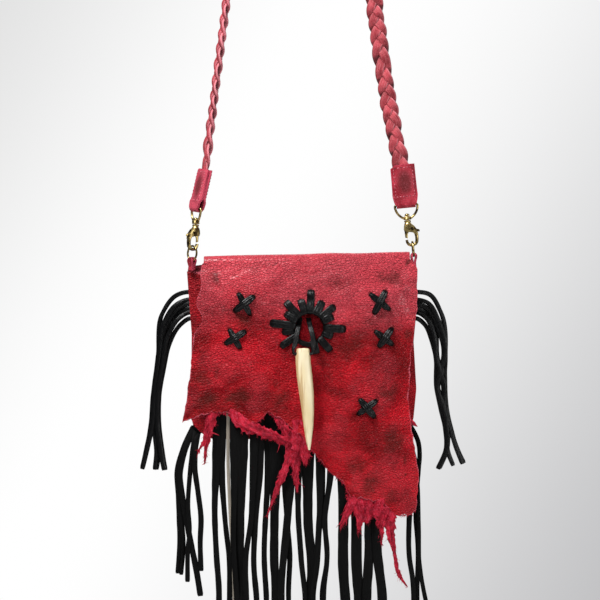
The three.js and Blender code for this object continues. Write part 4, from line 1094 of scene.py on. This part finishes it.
def hole_edge_lace(rows=30):
    """Lace along the hole's lower edge between the wraps: an arc of a circle that dips at both ends."""
    turn = np.radians(np.linspace(-152, -68, rows))
    radius = HOLE_RADIUS + 0.6
    forward = 2.6 * rounded_ends(rows, 0.18, 0.0) - 0.8
    line = on_flap(HOLE_X + radius * np.cos(turn), HOLE_Z + radius * np.sin(turn), forward)
    outward = points_at(np.cos(turn), 0, np.sin(turn))
    return sweep(line, outward, 4.6, 1.8, LACE_SIDES, 0.66, groove=LACE_GROOVE)


def pendant_lace_shape():
    """Flat lace on its route through the tooth, narrowed to a round cord where it passes the bore."""
    line = smooth_route(PENDANT_LACE, 130)
    above = smoothstep(line[:, 2], TOOTH_BORE_Z + 2, TOOTH_BORE_Z + 9)
    side = sides_facing(line, np.array((0.0, -1.0, 0.25)))
    return sweep(line, side, 2.5 + 2.1 * above, 2.3 - 0.5 * above, LACE_SIDES, 0.65, groove=0.22)


def tooth_shape(rows=80, bore_rows=30, sides=48):
    """Tooth: ovals whose width, depth and middle follow its table smoothly, faintly ridged down its length.

    Near the bore's axis points are pulled towards the middle by an eased step of their distance from it,
    which gives a drilled dimple on each side. Three smaller ovals close the top.
    """
    heights, *measures = np.array(TOOTH_SECTIONS).T
    z = np.concatenate([np.linspace(heights[-1], -96, rows), np.linspace(-95.4, heights[0], bore_rows)])
    z = z[:, None]
    middle, width, depth = (from_table(list(zip(heights, measure)), z, 2.2) for measure in measures)
    angle = ring_angles(sides, 0)
    ridge = 1 + 0.012 * np.cos(5 * angle + 0.05 * z) + 0.008 * np.cos(9 * angle + 1)
    x, y = width / 2 * np.cos(angle) * ridge, depth / 2 * np.sin(angle) * ridge
    from_bore = np.hypot(y, z - TOOTH_BORE_Z)
    x = x * (1 - 0.75 * smoothstep(2.1 - from_bore, 0, 1.0))
    grid = points_at(middle + x, TOOTH_Y + y, z)
    size, rise = np.array([(0.97, 0.35), (0.88, 0.7), (0.6, 0.95)]).T[..., None, None]
    top = grid[-1].mean(axis=0)
    lid = top + (grid[-1] - top) * size + np.array((0, 0, 1)) * rise
    grid = np.concatenate([grid, lid])
    return Shape(grid, tube_faces(len(grid), sides), across=np.tile(np.cos(angle), len(grid)))


# Tassels and fringe

def hanging_strip(route, width, thickness, seed, rows, sway, flare=0.0):
    """Hanging leather strip: a flat profile along a route that sways and turns more towards its end.

    The sway is noise across and forwards, and the turn a sine, both growing with the place along. The strip
    is wider by the share flare near its root, down to its own width within 100 mm.
    """
    line = smooth_route(route, rows)
    share = np.linspace(0, 1, rows)
    travelled = distances(line)[-1] * share
    loose = sway * smoothstep(share, 0.1, 0.9)
    line[:, 0] += loose * line_noise(travelled, 38, seed)
    line[:, 1] += 1.2 * loose * line_noise(travelled, 30, seed + 1)
    twist = 0.55 * loose * np.sin(travelled / 34 + seed) + 0.15 * np.sin(seed * 3)
    uneven = 1 + 0.05 * line_noise(travelled, 9, seed + 2)
    flared = 1 + flare * (1 - smoothstep(travelled, 35, 100))
    widths = width * uneven * rounded_ends(rows, 0.012, 0.8) * flared
    return sweep(line, sides_facing(line, FRONT), widths, thickness, 10, 0.6, twist=twist)


def tassel_shapes(side):
    """Laces of a side tassel, each leaving the seam below the last.

    A lace passes each station at its spread's share of the way from the outermost lace to the innermost one.
    """
    seam, outward = (POUCH_LEFT, -1) if side == "left" else (POUCH_RIGHT, 1)
    shapes = []
    for number, share in enumerate(SPREADS["shoulder"]):
        exit_z = TASSEL["exit_top"] - TASSEL["exit_drop"] * share
        exit_x = float(from_table(seam, exit_z))
        y = SEAM_Y + 2.6 * math.cos(2.3 * number)
        route = [(exit_x - 4 * outward, SEAM_Y, exit_z), (exit_x + outward, SEAM_Y, exit_z)]
        for (outer_x, outer_z), (inner_x, inner_z), spread in TASSELS[side]:
            at = SPREADS[spread][number]
            route.append((between(outer_x, inner_x, at), y, between(outer_z, inner_z, at)))
        shapes.append(hanging_strip(route, TASSEL["width"], TASSEL["thickness"], 40 + number, 90, 0.5))
    return shapes


def corner_fringe_shapes(side):
    """Strips from the pouch's bottom corner, each in front of the last, and the binding they are sewn to."""
    seat, strips = CORNER_FRINGES[side]
    line = smooth_route([(x, SEAM_Y, z) for x, z in seat], 20)
    shapes = [sweep(line, BACKWARDS, 5, 1.8, square=0.6)]
    for number, (route, width) in enumerate(strips):
        points = [(x, SEAM_Y - min(place, 1) * number * 1.7, z) for place, (x, z) in enumerate(route)]
        shapes.append(hanging_strip(points, width, STRIP_THICKNESS, 60 + number, 80, 0.5))
    return shapes


def front_fringe_shapes():
    """The front fringe: a band that follows the pouch, and strips that hang from it on their layers."""
    x = np.linspace(FRINGE_HEAD["left"], FRINGE_HEAD["right"], 60)
    z = np.linspace(FRINGE_HEAD["top"], FRINGE_HEAD["bottom"], 6)[:, None]
    clear = WALL / 2 + 0.65 + FRINGE_HEAD["thickness"] / 2
    band = points_at(x, pouch_mid(x, z) - clear, z)
    shapes = [wall(band, FRINGE_HEAD["thickness"], along=x, across=0.0)]
    for number, (places, width, bottom, layer, flesh) in enumerate(FRINGE_STRIPS):
        seat = float(pouch_mid(places[0], FRINGE_HEAD["bottom"] + 1.0)) - clear
        depths = [seat] + [seat + FRINGE_HEAD["layer"] * layer] * len(places)
        route = list(zip(places + places[-1:], depths, FRINGE_HEIGHTS + (bottom,)))
        flare = 0 if flesh else 0.5
        strip = hanging_strip(route, width, STRIP_THICKNESS, 80 + 3 * number, 84, 0.8, flare)
        strip.values["flesh"] = np.full(len(strip.points), float(flesh))
        shapes.append(strip)
    return shapes


# Strap and tabs

def strap_shapes(rows=640, sides=24):
    """Three strands plaited along the strap's line.

    With phase p, a third of a turn apart, a strand lies 4 * sin p to the side of the line and 1.7 * sin 2p
    above it, so that each passes over one neighbour and under the other. Noise along the strap shifts the
    phase and spreads and swells the strands a little. The band turns along its length, and its strands are
    pressed flat in the tabs.
    """
    line = smooth_route(STRAP_ROUTE, rows)
    share = np.linspace(0, 1, rows)
    slope = unit(np.gradient(line, axis=0))
    turn = np.radians(from_table(STRAP_TURN, share, 0.02))
    across = points_at(np.cos(turn), np.sin(turn), 0)
    across = unit(across - slope * (across * slope).sum(axis=1, keepdims=True))
    up = np.cross(slope, across)
    travelled = distances(line)[-1] * share
    free = smoothstep(np.minimum(share, 1 - share), 0.026, 0.04)
    face = np.tile(np.sign(np.sin(ring_angles(sides))), rows)
    drift = 0.1 * line_noise(travelled, 34, 98)
    shapes = []
    for strand in range(3):
        phase = 2 * np.pi * (travelled / BRAID_PERIOD + drift + strand / 3)
        sideways = 4.0 * (1 + 0.2 * line_noise(travelled, 17, 95 + strand)) * np.sin(phase)
        lift = (0.55 + 1.15 * free) * np.sin(2 * phase)
        path = line + across * sideways[:, None] + up * lift[:, None]
        side = unit(np.cross(np.gradient(path, axis=0), up))
        swell = 1 + 0.07 * line_noise(travelled, 9, 90 + strand)
        plait = sweep(path, side, 8.0 * swell, (1.7 + 1.7 * free) * swell, sides, 0.8, groove=0.28)
        plait.values["deep"] = np.repeat(-np.sin(2 * phase), sides) * face
        shapes.append(plait)
    return shapes


def tab_leaf(x, z):
    """How far a tab's leaf stands from its middle: full over the strap and the bar, pinched at sewn sides."""
    return TAB_LEAF - 1.65 * smoothstep(np.abs(x), 8.4, 10.6) * smoothstep(z, 5, 10)


def tab_shape(pale, columns=31, leaf_rows=54, bend_rows=12):
    """Tab folded round the eye's bar: a wall whose rows run down one leaf, round the bar and up the other.

    Its half width is 8.5 round the bar, grows to 11.5 just above it and narrows to 10.5 at the top, where one
    corner is cut. It is worn over an oval at its middle and along the crease above the bar.
    """
    bar_half, top_half = 8.5, 10.5
    across = np.linspace(-1, 1, columns)
    top = TAB_LENGTH - 3 * smoothstep(-across * top_half, 6.5, top_half)
    z = np.linspace(1, 0, leaf_rows)[:, None] * top
    half = from_table([(0, 9.6), (2, 10.3), (7.5, 11.5), (TAB_LENGTH, top_half)], z, 1)
    x = across * half
    leaf = points_at(x, -tab_leaf(x, z), z)
    angle = np.linspace(0, np.pi, bend_rows + 2)[1:-1, None]
    bend = points_at(bar_half * across, -TAB_LEAF * np.cos(angle), -TAB_LEAF * np.sin(angle))
    grid = np.concatenate([leaf, bend, leaf[::-1] * (1, -1, 1)])
    from_side = np.minimum(half - np.abs(x), top - z)
    bend_side = np.broadcast_to(bar_half * (1 - np.abs(across)), bend.shape[:2])
    edge = np.concatenate([from_side, bend_side, from_side[::-1]])
    off = np.hypot((grid[..., 2] - 20) / 13, (grid[..., 0] - 0.8) / 7.6)
    crease = np.exp(-((grid[..., 2] - 5.2) / 0.6) ** 2)
    return wall(grid, WALL, edge=edge, worn=np.maximum(np.exp(-off ** 2.6), 0.5 * crease), pale=pale)


def tab_stitches(rows=7, sides=8):
    """Stitches round both leaves of a tab: small ovals end to end on a rectangle, lying on the leather."""
    corners = np.array([(-8.6, 7), (-8.6, 33), (8.6, 33.4), (8.6, 7), (-8.6, 7)])
    places, headings = [], []
    for start, end in zip(corners, corners[1:]):
        count = round(math.dist(start, end) / STITCH_STEP)
        places.append(between(start, end, (np.arange(count)[:, None] + 0.5) / count))
        headings.append(np.broadcast_to(unit(end - start), (count, 2)))
    place_x, place_z = np.concatenate(places).T[..., None, None]
    step_x, step_z = np.concatenate(headings).T[..., None, None]
    along = np.cos(np.linspace(np.pi * 0.97, np.pi * 0.03, rows))[:, None]
    angle = ring_angles(sides, 0)
    length, radius = 0.85 * along, 0.45 * np.sqrt(1 - along ** 2)
    x = place_x + step_x * length - step_z * radius * np.cos(angle)
    z = place_z + step_z * length + step_x * radius * np.cos(angle)
    lying = tab_leaf(x, z) + WALL / 2 - 0.08
    faces = repeated_tubes(len(x), rows, sides)
    return [Shape(points_at(x, face * lying + radius * np.sin(angle), z), faces) for face in (-1, 1)]


# Clasps, rings and their loops

def eye_shapes():
    """The clasp's eye: round wire bent to a D, and a boss turned on a lathe where the claw's pin passes."""
    half, height = 10.2, EYE_HEIGHT
    right = [(half - 1.6, -0.1), (half - 0.2, -1.2), (half - 0.5, -5), (half - 3.4, -10), (3, -height)]
    loop = [(0, 0)] + right + [(-x, z) for x, z in right[::-1]] + [(0, 0)]
    wire = smooth_route([(x, 0, z) for x, z in loop], 97)[:-1]
    bar = sweep(wire, BACKWARDS, 2.2, 2.2, square=1, closed=True)
    lower = [(1.5, -1.6), (2.9, -1.6), (3.4, -1.3), (3.6, -0.8)]
    boss = lower + [(3.3, 0)] + [(radius, -z) for radius, z in lower[::-1]]
    return [bar, lathe([(radius, z - height) for radius, z in boss])]


def ladder(rungs, half_thickness, middle_y=0.0, count=64, sides=14):
    """Plate between an inner and an outer line: each rung's profile is a rounded slab as wide as the rung.

    The rungs of the table are spread evenly over the count, straight from one to the next, and the plate's
    narrow sides are darkened as painted shade.
    """
    corners = np.array(rungs, float).reshape(len(rungs), 4).T
    at, given = np.linspace(0, 1, count), np.linspace(0, 1, len(rungs))
    inner_x, inner_z, outer_x, outer_z = (np.interp(at, given, corner) for corner in corners)
    inner, outer = points_at(inner_x, middle_y, inner_z), points_at(outer_x, middle_y, outer_z)
    flat, tall = rounded_profile(sides, 0.75)
    thick = np.broadcast_to(half_thickness, count)[:, None] * tall
    grid = (inner + outer)[:, None] / 2 + flat[:, None] / 2 * (outer - inner)[:, None]
    grid = grid + thick[..., None] * BACKWARDS
    # Painted shade along the plate's narrow sides
    dark = 0.6 * smoothstep(np.abs(np.cos(ring_angles(sides))), 0.7, 1.0)
    return Shape(grid, tube_faces(count, sides), dark=np.tile(dark, count))


def hook_shapes():
    """The claw: cheeks beside the gate's slot, the curved arm and the neck, and pieces turned on a lathe.

    The collar, the pin and its head are turned about Z, and the gate's dark rivet about the pivot's Y.
    """
    cheeks = [ladder(CLAW_RUNGS[:6], 0.62, 1.65 * face, 30) for face in (-1, 1)]
    arm = ladder(CLAW_RUNGS[4:], np.linspace(2.2, 1.5, 64))
    neck = ladder(NECK_RUNGS, 2.2, count=16)
    collar = [
        (1.2, -18.6), (3, -18.6), (3.4, -18), (3, -17.4), (2.7, -16.6), (3.1, -15.9), (3.2, -15.4),
        (2.7, -14.8), (1.1, -14.8),
    ]
    pin = [(1.1, -15.2), (1.1, -10.6)]
    head = [(0.6, -10.8), (2.1, -10.8), (2.3, -10.4), (2.2, -9.7), (1.7, -9), (0.9, -8.6), (0.2, -8.5)]
    near = [(0.1, -2.75), (0.7, -2.7), (1.15, -2.45), (1.25, -2.2)]
    rivet = lathe(near + [(radius, -y) for radius, y in near[::-1]], 16)
    rivet.points = rivet.points[:, [0, 2, 1]] + PIVOT
    rivet.faces = rivet.faces[:, ::-1]
    rivet.values["dark"] = np.ones(len(rivet.points))
    return cheeks + [arm, neck] + [lathe(profile) for profile in (collar, pin, head)] + [rivet]


def ring_shape():
    """The ring: round wire on a circle about the claw's X, hanging from its seat in the claw."""
    turn = ring_angles(64, 0)
    centre = np.array(RING_SEAT) - (0, 0, RING_RADIUS)
    line = centre + RING_RADIUS * points_at(0, np.sin(turn), np.cos(turn))
    return sweep(line, np.array((1.0, 0.0, 0.0)), 2 * RING_WIRE, 2 * RING_WIRE, 14, 1, closed=True)


def ring_loop_shape(wire_z, width=6.6, leather=2.0, rows=44, columns=13):
    """Leather loop: a wall that runs up from its foot, round the ring's lower wire and down again.

    Its leaves lie together at the foot and part to hug the wire in a half circle. Its width follows a table
    of heights from the wire, narrow at a waist below it and over its top.
    """
    middle, half, close = wire_z + 0.2, RING_WIRE + 0.15 + leather / 2, leather / 2 + 0.1
    arch = [(half * math.cos(turn), 0, middle + half * math.sin(turn)) for turn in np.linspace(np.pi, 0, 9)]
    foot = [(-close, 0, -15.4), (-close, 0, wire_z - 5.4), (-1.5, 0, wire_z - 3.2), (-half, 0, wire_z - 0.6)]
    line = smooth_route(foot + arch + [(-x, y, z) for x, y, z in foot[::-1]], rows)
    across = np.linspace(-1, 1, columns)
    waist = [(-14, 0.95), (-8, 0.66), (-3, 0.9), (0, 1.05), (1.3, 0.9), (2.4, 0.5)]
    half_width = width / 2 * from_table(waist, line[:, 2:] - wire_z, 0.5)
    grid = points_at(line[:, :1], across * half_width, line[:, 2:])
    edge = width / 2 * (1 - np.abs(across))
    return wall(grid, leather, edge=edge, worn=np.exp(-((line[:, 2:] - middle - half) / 3) ** 2))


# The whole bag

def build_bag():
    """Makes every piece on its body, in place of its solids."""
    leather, torn, tabs = red_leather(), torn_leather(), tab_leather()
    lacing, fringe, brass = black_lace(), black_fringe(), antique_brass()
    sewing = thread()
    make_piece("hide", [hide_shape()], leather, nodes=["back_and_flap"])
    strips = [torn_strip(*row, seed=100 + 7 * number) for number, row in enumerate(TORN_STRIPS)]
    make_piece("torn_strips", strips, torn, sharp=60)
    fibres = [fray_shape(strips[:-1], 4800, 3.6, 0.5, 31), fray_shape(strips[:-2], 460, 6.5, 1.8, 32)]
    make_piece("torn_fibres", fibres, torn, sharp=60)
    make_piece("pouch", [pouch_shape()], leather, nodes=["pouch_front"])
    wraps = [wrap(tip, number) for number, tip in enumerate(WRAP_TIPS)]
    make_piece("lacing", wraps + [hole_edge_lace()], lacing, nodes=["lacing_ring"])
    make_piece("tooth_cord", [pendant_lace_shape()], lacing, nodes=["pendant_lace"])
    make_piece("tooth", [tooth_shape()], bone(), "pendant", ["tooth_pendant"])
    for number, (under, over) in enumerate(CROSS_STITCHES, 1):
        arms = [lace(*under, over=0), lace(*over, over=1)]
        make_piece(f"cross_lace_{number}", arms, lacing, nodes=[f"cross_stitch_{number}"])
    make_piece("front_fringe", front_fringe_shapes(), fringe, nodes=["fringe_front"])
    make_piece("braid", strap_shapes(), braid_leather(), nodes=["braided_strap"],
               drop=0, sharp=60)
    for side, (bar, tab_lean, lean, tab_turn, hook_turn) in CLASPS.items():
        make_piece(f"tassel_{side}", tassel_shapes(side), lacing, nodes=[f"side_tassel_{side}"])
        make_piece(f"corner_fringe_{side}", corner_fringe_shapes(side), fringe,
                   nodes=[f"fringe_corner_{side}"])
        tab = tab_shape(1.0 if side == "left" else 0.0).placed(bar, tab_lean, tab_turn)
        make_piece(f"tab_{side}", [tab], tabs, nodes=[f"strap_tab_{side}"])
        stitches = [shape.placed(bar, tab_lean, tab_turn) for shape in tab_stitches()]
        make_piece(f"tab_stitches_{side}", stitches, sewing)
        eye = [shape.placed(bar, lean, tab_turn) for shape in eye_shapes()]
        make_piece(f"eye_{side}", eye, brass, nodes=[f"clasp_eye_{side}"])
        hook = [shape.placed(bar, lean, hook_turn) for shape in hook_shapes()]
        make_piece(f"claw_hook_{side}", hook, brass, f"claw_{side}", [f"clasp_hook_{side}"])
        gate = ladder(GATE_RUNGS, 0.75, count=48).placed(bar, lean, hook_turn)
        make_piece(f"claw_gate_{side}", [gate], brass, f"gate_{side}",
                   [f"clasp_gate_{side}"])
        ring = ring_shape().placed(bar, lean, hook_turn)
        make_piece(f"ring_{side}", [ring], brass, nodes=[f"corner_ring_{side}"])
        wire = tilted(np.array(RING_SEAT) - (0, 0, 2 * RING_RADIUS), lean, hook_turn) + bar
        loop = ring_loop_shape(wire[2]).placed((wire[0], wire[1], 0), 0, hook_turn)
        make_piece(f"corner_loop_{side}", [loop], tabs, nodes=[f"ring_loop_{side}"])


# Camera, floor and light

def aim(thing, place, target):
    """Puts a light at a place, in metres, with its -Z towards the target."""
    heading = np.array(target, float) - np.array(place, float)
    pitch = math.atan2(math.hypot(heading[0], heading[1]), -heading[2])
    thing.location = place
    thing.rotation_euler = (pitch, 0, math.atan2(-heading[0], heading[1]))


def studio(view_width=0.54, distance=1.9, middle_z=-0.6393, floor_z=-1.2):
    """Level camera in front of the bag, a pale floor disc below it, soft area lights and a pale sky.

    The sky is a slanting grey gradient to the camera, a painted fall-off of the studio light, and a plain
    pale light from above to everything else.
    """
    scene = bpy.context.scene
    lens = bpy.data.cameras.new("camera")
    lens.sensor_width = 36
    lens.lens = lens.sensor_width * distance / view_width
    camera = bpy.data.objects.new("camera", lens)
    camera.location = (0, -distance - 0.01, middle_z)
    camera.rotation_euler = (math.pi / 2, 0, 0)
    scene.collection.objects.link(camera)
    scene.camera = camera

    turn, radius = ring_angles(64, 0), np.linspace(0.02, 1.5, 5)[:, None]
    disc = points_at(radius * np.cos(turn), radius * np.sin(turn), floor_z)
    index = np.arange(disc.size // 3).reshape(disc.shape[:2])
    ring = np.hstack([index, index[:, :1]])
    quads = np.stack([ring[:-1, :-1], ring[1:, :-1], ring[1:, 1:], ring[:-1, 1:]], axis=-1).reshape(-1, 4)
    mesh = bpy.data.meshes.new("floor")
    mesh.from_pydata(disc.reshape(-1, 3).tolist(), [], quads.tolist() + [index[0].tolist()])
    paint = Paint("floor_paper")
    mesh.materials.append(paint.finish({"Base Color": tint(232, 232, 232), "Roughness": 0.9}))
    floor = bpy.data.objects.new("floor", mesh)
    scene.collection.objects.link(floor)

    # Each light: place and size in metres, and watts
    lights = {
        "key": ((-0.5, -0.55, 0.5), 0.3, 26.0),
        "sheen": ((-0.1, -1.3, -0.1), 0.25, 2.6),
        "fill": ((1.3, -0.9, -0.5), 0.6, 8.0),
        "behind": ((0.5, 1.5, -0.1), 1.2, 9.0),
    }
    for name, (place, size, watts) in lights.items():
        lamp = bpy.data.lights.new(name, "AREA")
        lamp.size = size
        lamp.energy = watts
        lamp_object = bpy.data.objects.new(name, lamp)
        aim(lamp_object, place, (0, 0, -0.68))
        scene.collection.objects.link(lamp_object)

    world = bpy.data.worlds.new("pale_sky")
    world.use_nodes = True
    sky = Paint(world)
    toward = sky.node("ShaderNodeTexCoord", {}, {}, "Generated")
    right, up = (sky.node("ShaderNodeSeparateXYZ", {}, {0: toward}, axis) for axis in ("X", "Z"))
    # Painted light fall-off: the backdrop the camera sees greys towards the right and the bottom
    slant = 0.51 + right * 2.27 - up * 1.32
    backdrop = sky.mix(sky.step(slant, -0.1, 0.36), tint(222, 222, 222), tint(255, 255, 255))
    backdrop = sky.mix(sky.step(slant, 0.4, 1.16), backdrop, tint(186, 186, 188))
    seen = sky.node("ShaderNodeLightPath", {}, {}, "Is Camera Ray")
    sky.feed(sky.shader.inputs["Color"], sky.mix(seen, tint(255, 255, 255), backdrop))
    ambient = 0.07 + sky.step(up, -0.1, 1.0) * 0.2
    sky.feed(sky.shader.inputs["Strength"], ambient + seen * (1 - ambient))
    scene.world = world
    scene.view_settings.view_transform = "Standard"


studio()
build_bag()
